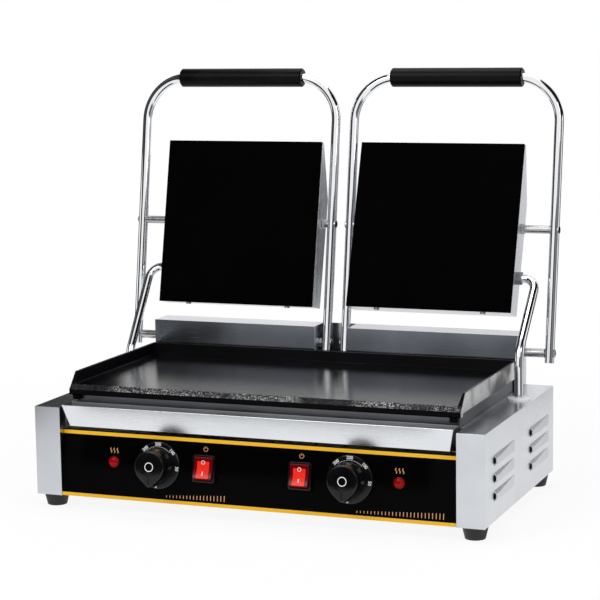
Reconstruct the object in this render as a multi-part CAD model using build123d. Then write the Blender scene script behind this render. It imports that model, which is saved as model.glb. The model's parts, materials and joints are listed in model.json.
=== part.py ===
from build123d import *
import os
from math import acos, asin, cos, degrees, hypot, radians, sin

# Countertop double contact grill, millimetres. X runs to the right, Y to the back and Z up.
# While the pieces are made, Y is 0 at the front of the end covers and Z is 0 under the feet.

# Body
body_width = 559.0
body_depth = 305.6
cover_width = 33.0
cover_height = 107.2
foot_height = 15.5
foot_top_radius = 15.4
foot_tip_radius = 11.7
foot_inset = 19.0
foot_bore_radius = 5.6
sheet = 1.2
fit_gap = 0.3
running_gap = 0.05

# Louvres in the end covers
louvre_length = 80.0
louvre_height = 13.0
louvre_depth = 3.0
louvre_mouth = 12.0
louvre_pitch = 20.5
louvre_rows = 3
louvre_rise = 29.0
louvre_front = 79.0
louvre_back = 69.6

# Control panel, leaning back
panel_toe = 0.3
panel_foot_gap = 0.5
panel_top_gap = 3.8
panel_set_back = 9.9
panel_thickness = 2.0
panel_upstand = 12.0
control_height = 44.5
lamp_x = 178.3
knob_x = 119.7
switch_x = 60.0

# Drip tray, a long pan with sloping walls
tray_end_gap = 3.1
tray_end_slope = 6.4
tray_above_deck = 3.3
tray_height = 26.5
tray_front = 0.0
tray_front_slope = 8.0
tray_back_gap = 7.0
tray_back_slope = 4.0
tray_wall = 1.0
tray_travel = 120.0

# Griddle casting
griddle_end_gap = 1.2
griddle_front = 23.7
griddle_back_gap = 5.3
griddle_floor = 8.5
griddle_rise = 24.0
rim_height = 13.6
rim_top_wall = 3.2
rim_foot_wall = 6.0
rim_nose_slope = 17.3
griddle_nose = 5.5
griddle_lip_height = 3.6
griddle_lug_width = 10.0
griddle_lug_height = 9.5
griddle_lug_length = 8.0

# Frame that carries the griddle
support_side_inset = 4.1
support_front_inset = 9.3
support_back_inset = 6.0
support_flange = 11.0

# Hinge housings and brackets
housing_depth = 38.3
housing_height = 66.8
housing_inner = 22.0
housing_end_gap = 1.5
bracket_thickness = 4.0
bracket_inset = 22.0
bracket_depth = 30.0
bracket_above_shaft = 14.0
bush_wall = 2.5
bush_flange = 2.0
bush_flange_reach = 3.0

# Lids: hinge line, handle frame and rest angle
hinge_inset = 17.7
hinge_rise = 43.4
shaft_radius = 5.5
shaft_hole_gap = 1.0
lid_lean = 9.0
inner_leg_x = 12.5
outer_leg_inset = 0.3
bar_radius = 6.0
leg_below_hinge = 12.0
handle_reach = 339.5
frame_corner_radius = 55.0
grip_side_gap = 48.05
grip_radius = 12.0
grip_chamfer = 1.5
axle_screw_radius = 3.0
axle_screw_head_radius = 5.2
axle_screw_head = 1.6
axle_screw_depth = 14.0
spring_wire = 3.5
spring_turns = 14
spring_pitch = 6.0

# Tilt pivots between the legs and the plates
plate_edge_reach = 43.0
pin_radius = 4.0
pin_head_radius = 4.6
pin_head_depth = 3.5
pin_socket_radius = 2.3
pin_socket_depth = 2.0
spacer_radius = 5.0
lock_nut_flats = 11.0
lock_nut_length = 3.5

# Upper plates
plate_inner_x = 25.2
plate_end_gap = 7.5
plate_front_margin = 26.9
plate_thickness = 7.0
plate_edge = 4.5
plate_step = 1.6
pivot_above_middle = 3.0
pivot_behind_face = 22.8
left_plate_lean = 12.3
right_plate_lean = 18.3
closed_gap = 0.45
plate_swing = 20.0
cover_depth = 37.0
cover_depth_low = 32.0
cover_slope_length = 69.9
cover_thin_end = 9.5
cover_screw_spread = 0.65
boss_length = 14.0
boss_side = 16.0
lug_side = 9.0

# Heating elements, insulation and their clamps
element_radius = 4.0
element_margin = 24.0
element_tail_bend = 8.0
element_tail = 14.0
lower_insulation_thickness = 6.0
lower_element_inset = 15.6
lower_element_margin = 30.0
lower_element_loop = 24.0
lower_element_bend = 11.0
upper_insulation_thickness = 7.0
upper_insulation_margin = 6.0

# Wiring conduits
conduit_radius = 5.5
conduit_inset = 17.5
left_conduit_before_hinge = 64.0
right_conduit_before_hinge = 79.9
left_conduit_knee_rise = 28.0
right_conduit_knee_rise = 56.8
conduit_knee_radius = 40.0
conduit_top_radius = 16.0
gland_length = 6.0
gland_flats = 14.0
gland_above_edge = 46.5
gland_clearance = 0.7
conduit_bush_radius = 13.5
conduit_bush_thickness = 2.0

# Knobs and thermostats
dial_radius = 28.0
dial_thickness = 3.5
dial_gap = 0.6
grip_back_radius = 20.5
grip_front_radius = 18.5
knob_depth = 25.0
knob_edge_radius = 2.0
knob_dish_radius = 13.0
knob_dish_depth = 1.4
knob_badge_radius = 6.0
pointer_width = 9.0
pointer_reach = 24.5
spindle_radius = 3.0
spindle_length = 22.0
knob_turn = 270.0
thermostat_width = 38.0
thermostat_height = 34.0
thermostat_depth = 22.0
thermostat_neck_radius = 6.0
bulb_radius = 3.0
bulb_length = 90.0
bulb_gap = 8.5
capillary_radius = 1.0
capillary_bend = 2.5

# Rocker switches
switch_width = 28.0
switch_height = 32.0
switch_proud = 6.0
switch_body_depth = 24.0
switch_body_inset = 3.0
switch_wall = 2.0
rocker_proud = 3.2
rocker_axis_depth = 5.0
rocker_radius = 14.5
rocker_clearance = 0.4
rocker_throw = 20.0
rocker_stem = 3.0
rocker_dip = 2.4

# Pilot lamps
lamp_radius = 6.6
lamp_lens_height = 3.5
lamp_edge_radius = 2.4
lamp_body_radius = 5.0
lamp_body_length = 22.0

# Rear services and fasteners
gland_inset = 56.5
gland_z = 40.0
gland_radius = 9.0
gland_bore = 4.5
gland_flange = 2.5
gland_reach = 12.0
terminal_width = 60.0
terminal_depth = 20.0
terminal_height = 22.0
terminal_ways = 5
screw_head_radius = 3.6
screw_head_height = 1.8
screw_shank_radius = 1.9
screw_length = 8.0
rear_slot_width = 46.0
rear_slot_height = 4.0
rear_slot_rows = 3
rear_slot_columns = (-2, -1, 0, 1)
rear_flange = 16.0
rear_screw_inset = 8.0

# Places worked out from the sizes above
half_width = body_width / 2
cover_inner = half_width - cover_width
cover_centre = half_width - cover_width / 2
deck_top = foot_height + cover_height
louvre_columns = (louvre_front, body_depth - louvre_back)
louvre_lowest = foot_height + louvre_rise
housing_front = body_depth - housing_depth
housing_top = deck_top + housing_height
housing_outer = cover_inner - housing_end_gap
hinge_y = body_depth - hinge_inset
hinge_z = deck_top + hinge_rise
griddle_half_width = cover_inner - griddle_end_gap
griddle_back = housing_front - griddle_back_gap
griddle_depth = griddle_back - griddle_front
griddle_top = deck_top + griddle_rise
griddle_underside = griddle_top - griddle_floor
rim_top = griddle_top + rim_height
support_half_width = griddle_half_width - support_side_inset
support_front = griddle_front + support_front_inset
support_back = griddle_back - support_back_inset
tray_half_top = cover_inner - tray_end_gap
tray_half_bottom = tray_half_top - tray_end_slope
tray_top = deck_top + tray_above_deck
tray_bottom = tray_top - tray_height
tray_back = support_front - tray_back_gap
shelf_top = tray_bottom - fit_gap
panel_bottom = foot_height + panel_foot_gap
panel_rise = tray_bottom - panel_top_gap - panel_bottom
panel_length = hypot(panel_rise, panel_set_back)
panel_lean = degrees(asin(panel_set_back / panel_length))
lower_element_x = support_half_width / 2
lower_element_half_span = lower_element_x - lower_element_inset
lower_element_reach = lower_element_half_span - lower_element_loop
bulb_x = lower_element_x + (element_tail + lower_element_reach) / 2
conduit_x = half_width - conduit_inset
gland_x = cover_inner - gland_inset
pin_hole_radius = pin_radius + running_gap
bush_radius = shaft_radius + running_gap + bush_wall
outer_leg_x = half_width - outer_leg_inset
lid_centre_x = (outer_leg_x + inner_leg_x) / 2
leg_half_span = (outer_leg_x - inner_leg_x) / 2
grip_length = 2 * (leg_half_span - grip_side_gap)
plate_outer_x = griddle_half_width - plate_end_gap
plate_centre_x = (plate_outer_x + plate_inner_x) / 2
plate_half = (plate_outer_x - plate_inner_x) / 2
plate_side = griddle_depth - plate_front_margin
pivot_from_lower_edge = plate_side / 2 + pivot_above_middle
pivot_reach = plate_edge_reach + pivot_from_lower_edge
cover_slope_start = plate_side - cover_slope_length
plate_low = -pivot_from_lower_edge
plate_high = plate_side - pivot_from_lower_edge
face_y = -pivot_behind_face
closed_rise = griddle_top + closed_gap + pivot_behind_face - hinge_z
lid_travel = lid_lean + degrees(acos(closed_rise / pivot_reach))
left_pin_turn = 90 + left_plate_lean - lid_travel
right_pin_turn = 90 + right_plate_lean - lid_travel

panel_frame = Pos(0, panel_toe, panel_bottom) * Rot(-panel_lean, 0, 0)
sides = {"left": -1, "right": 1}
plate_lean = {"left": left_plate_lean, "right": right_plate_lean}
conduit_y = {
    "left": hinge_y - left_conduit_before_hinge,
    "right": hinge_y - right_conduit_before_hinge,
}
conduit_knee_z = {
    "left": deck_top + left_conduit_knee_rise,
    "right": deck_top + right_conduit_knee_rise,
}


def block(x0, x1, y0, y1, z0, z1):
    """A box between two corners."""
    low = (min(x0, x1), min(y0, y1), min(z0, z1))
    size = (abs(x1 - x0), abs(y1 - y0), abs(z1 - z0))
    return Pos(*low) * Box(*size, align=(Align.MIN, Align.MIN, Align.MIN))


def rod_x(radius, x0, x1, y, z):
    """A round bar along X."""
    return Pos((x0 + x1) / 2, y, z) * Rot(0, 90, 0) * Cylinder(radius, abs(x1 - x0))


def rod_y(radius, y0, y1, x, z):
    """A round bar along Y."""
    return Pos(x, (y0 + y1) / 2, z) * Rot(90, 0, 0) * Cylinder(radius, abs(y1 - y0))


def rod_z(radius, z0, z1, x, y):
    """A round bar along Z."""
    return Pos(x, y, (z0 + z1) / 2) * Cylinder(radius, abs(z1 - z0))


def tube_along(points, radius, bends):
    """A round bar that follows straight runs joined by tangent arcs."""
    path = FilletPolyline(*points, radius=bends)
    section = Plane(origin=path @ 0, z_dir=path % 0) * Circle(radius)
    return sweep(section, path)


def prism_x(points, x0, x1):
    """A profile of Y and Z points, drawn out along X."""
    outline = Plane.YZ * make_face(Polyline(*points, close=True))
    return Pos(x0, 0, 0) * extrude(outline, x1 - x0)


def screw_up(x, y, z):
    """A round-head screw driven upwards, its head under the surface at z."""
    head = rod_z(screw_head_radius, z - screw_head_height, z, x, y)
    return head + rod_z(screw_shank_radius, z, z + screw_length, x, y)


def screw_hole_z(x, y, z, depth):
    """A clear hole for a screw, upwards from z."""
    return rod_z(screw_shank_radius + running_gap, z, z + depth, x, y)


def end_cover(name, side):
    """Louvred stainless end cover, open towards the middle."""
    outer, inner = side * half_width, side * cover_inner
    shell = block(inner, outer, 0, body_depth, foot_height, deck_top)
    shell -= block(
        inner - side * sheet,
        outer - side * sheet,
        sheet,
        body_depth - sheet,
        foot_height + sheet,
        deck_top - sheet,
    )
    shell += block(
        inner,
        inner + side * sheet,
        sheet,
        support_front / 2,
        foot_height + sheet,
        deck_top - sheet,
    )
    for column in louvre_columns:
        for row in range(louvre_rows):
            middle = louvre_lowest + row * louvre_pitch
            shell += louvre(side, column, middle, 0)
            shell -= louvre(side, column, middle, sheet)
    shell -= rod_z(
        conduit_radius + fit_gap, deck_top - sheet, deck_top, side * conduit_x, conduit_y[name]
    )
    for y in (foot_inset, body_depth - foot_inset):
        shell -= screw_hole_z(side * cover_centre, y, foot_height, sheet)
    return shell


def louvre(side, column, middle, inset):
    """A pressed gill, or the space under it: a ramp that rises to its open front end."""
    low = middle - louvre_height / 2 + inset
    high = middle + louvre_height / 2 - inset
    start = column - louvre_length / 2
    end = column + louvre_length / 2 - inset
    lip = start + louvre_mouth - inset
    wall = side * (half_width - inset)
    reach = side * (half_width + louvre_depth - inset)
    back = [(start, low), (end, low), (end, high), (start, high)]
    front = [
        (start, low + louvre_depth),
        (lip, low + louvre_depth),
        (lip, high - louvre_depth),
        (start, high - louvre_depth),
    ]
    back_face = Plane.YZ.offset(wall) * make_face(Polyline(*back, close=True))
    front_face = Plane.YZ.offset(reach) * make_face(Polyline(*front, close=True))
    return loft([back_face.face(), front_face.face()], ruled=True)


def chassis():
    """Folded floor with its front upstand, side walls and rear flanges."""
    shape = block(-cover_inner, cover_inner, 0, body_depth - sheet, foot_height, foot_height + sheet)
    for side in sides.values():
        wall = side * (cover_inner - sheet)
        shape += block(
            wall,
            side * cover_inner,
            support_front / 2 + fit_gap,
            body_depth - sheet,
            foot_height + sheet,
            deck_top - sheet,
        )
        shape += block(
            wall,
            wall - side * rear_flange,
            body_depth - 2 * sheet,
            body_depth - sheet,
            foot_height + sheet,
            deck_top - sheet,
        )
    half = cover_inner - sheet
    shape += panel_frame * block(
        -half, half, panel_thickness, panel_thickness + sheet, 0, panel_upstand
    )
    shape -= panel_frame * block(
        -cover_inner, cover_inner, -panel_length, panel_thickness, -panel_length, panel_length
    )
    for x, z in rear_screw_places():
        shape -= rear_screw_hole(x, z)
    return shape


def top_deck():
    """Flat deck under the griddle and the hinge housings."""
    half = cover_inner - fit_gap / 2
    base = deck_top - sheet
    deck = block(-half, half, support_front, body_depth - sheet, base, deck_top)
    return deck - lower_passages(base, sheet)


def front_wall():
    """Wall behind the drip tray, with the shelf that the tray stands on."""
    inner = cover_inner - sheet - fit_gap
    wall = block(
        -inner, inner, support_front, support_front + sheet, shelf_top - sheet, deck_top - sheet
    )
    shelf_front = panel_toe + panel_set_back + panel_thickness + fit_gap
    wall += block(-inner, inner, shelf_front, support_front, shelf_top - sheet, shelf_top)
    return wall


def rear_panel():
    """Back panel, with the upstand behind the hinge housings and the air slots."""
    back, front = body_depth, body_depth - sheet
    panel = block(-cover_inner, cover_inner, front, back, foot_height, deck_top)
    panel += block(-housing_outer, housing_outer, front, back, deck_top, housing_top)
    panel -= rod_y(gland_radius, front, back, gland_x, gland_z)
    for column in rear_slot_columns:
        for row in range(rear_slot_rows):
            x = column * rear_slot_width * 2
            z = gland_z + row * rear_slot_height * 4
            panel -= block(
                x - rear_slot_width / 2,
                x + rear_slot_width / 2,
                front,
                back,
                z,
                z + rear_slot_height,
            )
    for x, z in rear_screw_places():
        panel -= rear_screw_hole(x, z)
    return panel


def control_panel():
    """Leaning front panel with its cut-outs."""
    half = cover_inner - fit_gap
    panel = block(-half, half, 0, panel_thickness, 0, panel_length)
    for side in sides.values():
        panel -= rod_y(
            thermostat_neck_radius + running_gap, 0, panel_thickness, side * knob_x, control_height
        )
        panel -= rod_y(
            lamp_body_radius + running_gap, 0, panel_thickness, side * lamp_x, control_height
        )
        hole_x = switch_width / 2 - switch_body_inset + fit_gap
        hole_z = switch_height / 2 - switch_body_inset + fit_gap
        panel -= block(
            side * switch_x - hole_x,
            side * switch_x + hole_x,
            0,
            panel_thickness,
            control_height - hole_z,
            control_height + hole_z,
        )
    return panel_frame * panel


def drip_tray():
    """Loaf-pan drip tray: sloping front, back and ends round an open trough."""

    def pan(inset, floor, top):
        low = Plane.XY.offset(floor) * Pos(0, 0) * make_face(
            Polyline(
                (-tray_half_bottom + inset, tray_front + tray_front_slope + inset),
                (tray_half_bottom - inset, tray_front + tray_front_slope + inset),
                (tray_half_bottom - inset, tray_back - tray_back_slope - inset),
                (-tray_half_bottom + inset, tray_back - tray_back_slope - inset),
                close=True,
            )
        )
        high = Plane.XY.offset(top) * make_face(
            Polyline(
                (-tray_half_top + inset, tray_front + inset),
                (tray_half_top - inset, tray_front + inset),
                (tray_half_top - inset, tray_back - inset),
                (-tray_half_top + inset, tray_back - inset),
                close=True,
            )
        )
        return loft([low.face(), high.face()], ruled=True)

    return pan(0, tray_bottom, tray_top) - pan(tray_wall, tray_bottom + tray_wall, tray_top)


def griddle():
    """Cast griddle: floor, splash rims on three sides, a chamfered nose, front lip and two lugs."""
    half = griddle_half_width
    body = block(-half, half, griddle_front, griddle_back, griddle_underside, griddle_top)
    lip_back = support_front - fit_gap
    lip_foot = griddle_underside - griddle_lip_height
    body += block(-half, half, griddle_front, lip_back, lip_foot, griddle_underside)
    for side in sides.values():
        outer = side * half
        rim = Plane.XZ * make_face(
            Polyline(
                (outer, griddle_top),
                (outer, rim_top),
                (outer - side * rim_top_wall, rim_top),
                (outer - side * rim_foot_wall, griddle_top),
                close=True,
            )
        )
        body += Pos(0, griddle_back, 0) * extrude(rim, griddle_depth)
        lug_x = side * (support_half_width - griddle_lug_width)
        body += block(
            lug_x,
            side * support_half_width,
            lip_back - griddle_lug_length,
            lip_back,
            griddle_underside - griddle_lug_height,
            griddle_underside,
        )
    body += prism_x(
        [
            (griddle_back, griddle_top),
            (griddle_back, rim_top),
            (griddle_back - rim_top_wall, rim_top),
            (griddle_back - rim_foot_wall, griddle_top),
        ],
        -half,
        half,
    )
    nose = prism_x(
        [
            (griddle_front, griddle_top - griddle_nose),
            (griddle_front + griddle_nose, griddle_top),
            (griddle_front + rim_nose_slope, rim_top),
            (griddle_front, rim_top),
        ],
        -half,
        half,
    )
    return body - nose


def griddle_support():
    """Sheet frame between the deck and the griddle, flanged inwards at the top."""
    half = support_half_width
    frame = block(-half, half, support_front, support_back, deck_top, griddle_underside)
    frame -= block(
        -half + sheet,
        half - sheet,
        support_front + sheet,
        support_back - sheet,
        deck_top,
        griddle_underside - sheet,
    )
    flange = support_flange
    frame -= block(
        -half + flange,
        half - flange,
        support_front + flange,
        support_back - flange,
        griddle_underside - sheet,
        griddle_underside,
    )
    return frame


def element_tail_y():
    """Where the lower elements' tails turn down through the deck."""
    return support_back - lower_element_margin


def bulb_y():
    """The middle of the sensing bulbs, behind the front loop of the lower elements."""
    loop_back = support_front + lower_element_margin + element_margin + element_radius
    return loop_back + bulb_gap + bulb_length / 2


def lower_element(side):
    """Tubular element against the griddle's underside, with its ends down through the deck."""
    z = griddle_underside - element_radius
    low = support_front + lower_element_margin
    high = element_tail_y()
    inner, outer = lower_element_reach, lower_element_half_span
    half_path = [
        (element_tail, high, deck_top - element_tail),
        (element_tail, high, z),
        (element_tail, low + element_margin, z),
        (inner, low + element_margin, z),
        (inner, high, z),
        (outer, high, z),
        (outer, low, z),
    ]
    points = [(-x, y, z) for x, y, z in half_path] + half_path[::-1]
    bends = [lower_element_bend] * (len(points) - 2)
    bends[0] = bends[-1] = element_tail_bend
    return Pos(side * lower_element_x, 0, 0) * tube_along(points, element_radius, bends)


def lower_insulation():
    """Mineral-wool board under the lower elements."""
    half = support_half_width - support_flange
    low = support_front + support_flange
    high = support_back - support_flange
    board = block(-half, half, low, high, deck_top, deck_top + lower_insulation_thickness)
    return board - lower_passages(deck_top, lower_insulation_thickness)


def clamp_sheet():
    """Sheet that holds the lower elements up against the griddle."""
    half = support_half_width - support_flange
    low = support_front + support_flange
    high = support_back - support_flange
    base = deck_top + lower_insulation_thickness
    top = griddle_underside - 2 * element_radius
    plate = block(-half, half, low, high, base, top)
    return plate - lower_passages(base, top - base)


def lower_passages(z, height):
    """Slots for the elements' tails and holes for the bulbs' capillaries."""
    holes = []
    clear = element_radius + fit_gap
    y = element_tail_y()
    for side in sides.values():
        for turn in (-1, 1):
            x = side * lower_element_x + turn * element_tail
            holes.append(
                block(x - clear, x + clear, y - element_tail_bend - clear, y + clear, z, z + height)
            )
        holes.append(rod_z(capillary_radius + fit_gap, z, z + height, side * bulb_x, bulb_y()))
    return holes


def hinge_housing(side):
    """Folded stainless cover over one hinge, open below and behind, with rear flanges."""
    x0, x1 = side * housing_inner, side * housing_outer
    back = body_depth - sheet
    shell = block(x0, x1, housing_front, back, deck_top, housing_top)
    shell -= block(
        x0 + side * sheet,
        x1 - side * sheet,
        housing_front + sheet,
        back,
        deck_top,
        housing_top - sheet,
    )
    for wall, way in ((x0, side), (x1, -side)):
        shell += block(wall, wall + way * rear_flange, back - sheet, back, deck_top, housing_top)
    for x, z in rear_screw_places():
        shell -= rear_screw_hole(x, z)
    return shell - rod_x(shaft_radius + shaft_hole_gap, x0, x1, hinge_y, hinge_z)


def bracket_places(side):
    """The X centre of each bracket in one housing."""
    return (
        side * (housing_inner + sheet + bracket_inset),
        side * (housing_outer - sheet - bracket_inset),
    )


def hinge_bracket(x):
    """Steel cheek that carries a hinge bush on the deck."""
    half = bracket_depth / 2
    cheek = block(
        x - bracket_thickness / 2,
        x + bracket_thickness / 2,
        hinge_y - half,
        hinge_y + half,
        deck_top,
        hinge_z + bracket_above_shaft,
    )
    return cheek - rod_x(bush_radius, x - bracket_thickness, x + bracket_thickness, hinge_y, hinge_z)


def hinge_bush(x):
    """Flanged bush in a bracket."""
    half = bracket_thickness / 2
    bush = rod_x(bush_radius, x - half, x + half, hinge_y, hinge_z)
    for way in (-1, 1):
        bush += rod_x(
            bush_radius + bush_flange_reach, x + way * half, x + way * (half + bush_flange), hinge_y, hinge_z
        )
    hole = rod_x(shaft_radius + running_gap, x - bracket_thickness, x + bracket_thickness, hinge_y, hinge_z)
    return bush - hole


def torsion_spring(side):
    """Counterbalance coil round one hinge shaft, against the outer bracket's bush."""
    length = spring_turns * spring_pitch
    bracket = bracket_places(side)[1]
    end = bracket - side * (bracket_thickness / 2 + bush_flange + spring_wire / 2 + fit_gap)
    start = min(end, end - side * length)
    radius = shaft_radius + fit_gap + spring_wire / 2
    coil = Helix(pitch=spring_pitch, height=length, radius=radius)
    section = Plane(origin=coil @ 0, z_dir=coil % 0) * Circle(spring_wire / 2)
    wound = sweep(section, coil, is_frenet=True)
    return Pos(start, hinge_y, hinge_z) * Rot(0, 90, 0) * wound


def hinge_shaft(side):
    """Round shaft from leg to leg, tapped at both ends."""
    inner = lid_centre_x - leg_half_span + bar_radius
    outer = lid_centre_x + leg_half_span - bar_radius
    shaft = rod_x(shaft_radius, side * inner, side * outer, 0, 0)
    for end, way in ((inner, 1), (outer, -1)):
        shaft -= rod_x(
            axle_screw_radius + running_gap,
            side * end,
            side * (end + way * axle_screw_depth),
            0,
            0,
        )
    return shaft


def leg_places(side):
    """The X centre of each leg, with the way from it towards the plate."""
    return (
        (side * (lid_centre_x - leg_half_span), side),
        (side * (lid_centre_x + leg_half_span), -side),
    )


def handle_bar(side):
    """The bent round bar: two legs and the bar that the grip sits on."""
    centre = side * lid_centre_x
    points = [
        (centre - leg_half_span, 0, -leg_below_hinge),
        (centre - leg_half_span, 0, handle_reach),
        (centre + leg_half_span, 0, handle_reach),
        (centre + leg_half_span, 0, -leg_below_hinge),
    ]
    return tube_along(points, bar_radius, frame_corner_radius)


def handle_frame(side):
    """The bent bar, drilled for its axle screws and pivot pins."""
    frame = handle_bar(side)
    for x, way in leg_places(side):
        frame -= rod_x(axle_screw_radius, x - bar_radius, x + bar_radius, 0, 0)
        frame -= rod_x(pin_hole_radius, x - bar_radius, x + bar_radius, 0, pivot_reach)
        frame -= rod_x(
            pin_head_radius + running_gap,
            x - way * bar_radius,
            x - way * (bar_radius - pin_head_depth - fit_gap),
            0,
            pivot_reach,
        )
    return frame


def handle_grip(side):
    """Moulded sleeve round the handle bar."""
    x = side * lid_centre_x
    sleeve = rod_x(grip_radius, x - grip_length / 2, x + grip_length / 2, 0, handle_reach)
    sleeve = chamfer(sleeve.edges(), grip_chamfer)
    return sleeve - handle_bar(side)


def axle_screws(side):
    """Screws through the legs into the shaft's ends."""
    screws = []
    for x, way in leg_places(side):
        face = x - way * bar_radius
        head = rod_x(axle_screw_head_radius, face, face - way * axle_screw_head, 0, 0)
        seat = rod_x(axle_screw_radius, face, x + way * (bar_radius + axle_screw_depth - fit_gap), 0, 0)
        screws.append(head + seat)
    return screws


def pin_ends(side):
    """For each pin: leg centre, way towards the plate and the plate's side face."""
    centre = side * plate_centre_x
    return [(x, way, centre - way * plate_half) for x, way in leg_places(side)]


def pivot_pins(side):
    """Socket-head pins, each with its spacer and lock nut, in the lid's own frame."""
    pins = []
    for x, way, face in pin_ends(side):
        head_face = x - way * (bar_radius - fit_gap)
        head_foot = x - way * (bar_radius - pin_head_depth)
        tip = face + way * (sheet + boss_length - fit_gap)
        pin = rod_x(pin_head_radius, head_face, head_foot, 0, 0)
        pin += rod_x(pin_radius, head_foot, tip, 0, 0)
        pin -= rod_x(pin_socket_radius, head_face, head_face + way * pin_socket_depth, 0, 0)
        nut_outer = face - way * (lock_nut_length + fit_gap)
        pin += rod_x(spacer_radius, x + way * (bar_radius + fit_gap), nut_outer, 0, 0)
        nut = Plane(origin=(nut_outer, 0, 0), z_dir=(way, 0, 0)) * RegularPolygon(
            lock_nut_flats / 2, 6, major_radius=False
        )
        pin += extrude(nut, lock_nut_length)
        pins.append(pin)
    return pins


def upper_plate(side):
    """Cast upper plate, stepped so that the cover's edge sits on it."""
    x = side * plate_centre_x
    face = block(
        x - plate_half, x + plate_half, face_y, face_y + plate_edge, plate_low, plate_high
    )
    inner = plate_half - plate_step
    face += block(
        x - inner,
        x + inner,
        face_y + plate_edge,
        face_y + plate_thickness,
        plate_low + plate_step,
        plate_high - plate_step,
    )
    return face


def cover_profile(inset):
    """The side view of a plate's cover, as Y and Z points, inset all round."""
    seam = face_y + plate_edge
    return [
        (seam, plate_low + inset),
        (face_y + cover_depth_low - inset, plate_low + inset),
        (face_y + cover_depth - inset, plate_low + cover_slope_start),
        (face_y + cover_thin_end - inset, plate_high - inset),
        (seam, plate_high - inset),
    ]


def plate_cover(side):
    """Folded stainless cover over the back of an upper plate."""
    x = side * plate_centre_x
    shell = prism_x(cover_profile(0), x - plate_half, x + plate_half)
    shell -= prism_x(cover_profile(sheet), x - plate_half + sheet, x + plate_half - sheet)
    for leg, way, face in pin_ends(side):
        shell -= rod_x(pin_radius + 2 * fit_gap, face, face + way * sheet, 0, 0)
    y, z = gland_place()
    face = side * (plate_centre_x + plate_half)
    shell -= rod_x(conduit_radius - fit_gap, face, face - side * sheet, y, z)
    for screw_x in cover_screw_places(side):
        shell -= screw_hole_z(screw_x, screw_line_y(), plate_low, sheet)
    return shell


def screw_line_y():
    """The line of the cover's screws along its lower wall."""
    return face_y + plate_thickness + lug_side / 2


def cover_screw_places(side):
    """The X of each screw in a cover's lower wall."""
    return [side * plate_centre_x + turn * plate_half * cover_screw_spread for turn in (-1, 1)]


def gland_place():
    """Y and Z of the conduit's nut in a plate's own frame, clear of the closed griddle's rim."""
    corner = gland_flats / 2 / cos(radians(30))
    y = face_y + rim_height - closed_gap + corner + gland_clearance
    return y, plate_low + gland_above_edge


def cover_screws(side):
    """Round-head screws along the cover's lower wall."""
    return [screw_up(x, screw_line_y(), plate_low) for x in cover_screw_places(side)]


def plate_fittings(side):
    """Bosses for the pivot pins, lugs for the cover screws and the conduit's nut."""
    pieces = []
    back = face_y + plate_thickness
    for leg, way, face in pin_ends(side):
        inner = face + way * sheet
        boss = block(
            inner, inner + way * boss_length, back, boss_side / 2, -boss_side / 2, boss_side / 2
        )
        pieces.append(boss - rod_x(pin_hole_radius, inner, inner + way * boss_length, 0, 0))
    low = plate_low + sheet
    for x in cover_screw_places(side):
        lug = block(x - lug_side / 2, x + lug_side / 2, back, back + lug_side, low, low + lug_side)
        pieces.append(lug - screw_hole_z(x, screw_line_y(), low, lug_side))
    y, z = gland_place()
    face = side * (plate_centre_x + plate_half)
    seat = Plane(origin=(face, y, z), z_dir=(side, 0, 0))
    nut = extrude(seat * RegularPolygon(gland_flats / 2, 6, major_radius=False), gland_length)
    bore = rod_x(conduit_radius + running_gap, face, face + side * gland_length, y, z)
    pieces.append(nut - bore)
    return pieces


def upper_element(side):
    """Tubular element clipped on the back of an upper plate."""
    x = side * plate_centre_x
    y = face_y + plate_thickness + element_radius
    half = plate_half - element_margin
    low = plate_low + element_margin
    high = plate_low + cover_slope_start - element_margin
    tail = tail_height()
    half_path = [
        (element_tail, y + element_tail, tail),
        (element_tail, y, tail),
        (element_tail, y, high),
        (half, y, high),
        (half, y, low),
    ]
    points = [(-x, y, z) for x, y, z in half_path] + half_path[::-1]
    bends = [element_margin / 2] * (len(points) - 2)
    bends[0] = bends[-1] = element_tail_bend
    return Pos(x, 0, 0) * tube_along(points, element_radius, bends)


def tail_height():
    """How high the upper elements' tails turn back, in the plate's own frame."""
    return plate_low + 3 * element_margin


def upper_insulation(side):
    """Mineral-wool board behind an upper element."""
    x = side * plate_centre_x
    half = plate_half - sheet - boss_length - upper_insulation_margin
    front = face_y + plate_thickness + max(2 * element_radius, lug_side)
    back = front + upper_insulation_thickness
    low = plate_low + sheet + upper_insulation_margin
    high = plate_low + cover_slope_start - upper_insulation_margin
    board = block(x - half, x + half, front, back, low, high)
    clear = element_radius + fit_gap
    tail = tail_height()
    for turn in (-1, 1):
        middle = x + turn * element_tail
        board -= block(
            middle - clear,
            middle + clear,
            front,
            back,
            tail - clear,
            tail + element_tail_bend + clear,
        )
    return board


def conduit(name, side):
    """Metal-sheathed wiring tube from the end cover to the plate's side."""
    face = side * (plate_centre_x + plate_half)
    x = side * conduit_x
    top = (plate_frame(name) * Pos(0, *gland_place())).position
    points = [
        (x, conduit_y[name], deck_top - conduit_radius),
        (x, conduit_y[name], conduit_knee_z[name]),
        (x, top.Y, top.Z),
        (face, top.Y, top.Z),
    ]
    return tube_along(points, conduit_radius, [conduit_knee_radius, conduit_top_radius])


def conduit_bush(name, side):
    """White bush where a conduit leaves the end cover."""
    x, y = side * conduit_x, conduit_y[name]
    ring = rod_z(conduit_bush_radius, deck_top, deck_top + conduit_bush_thickness, x, y)
    return ring - rod_z(
        conduit_radius + running_gap, deck_top, deck_top + conduit_bush_thickness, x, y
    )


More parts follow.
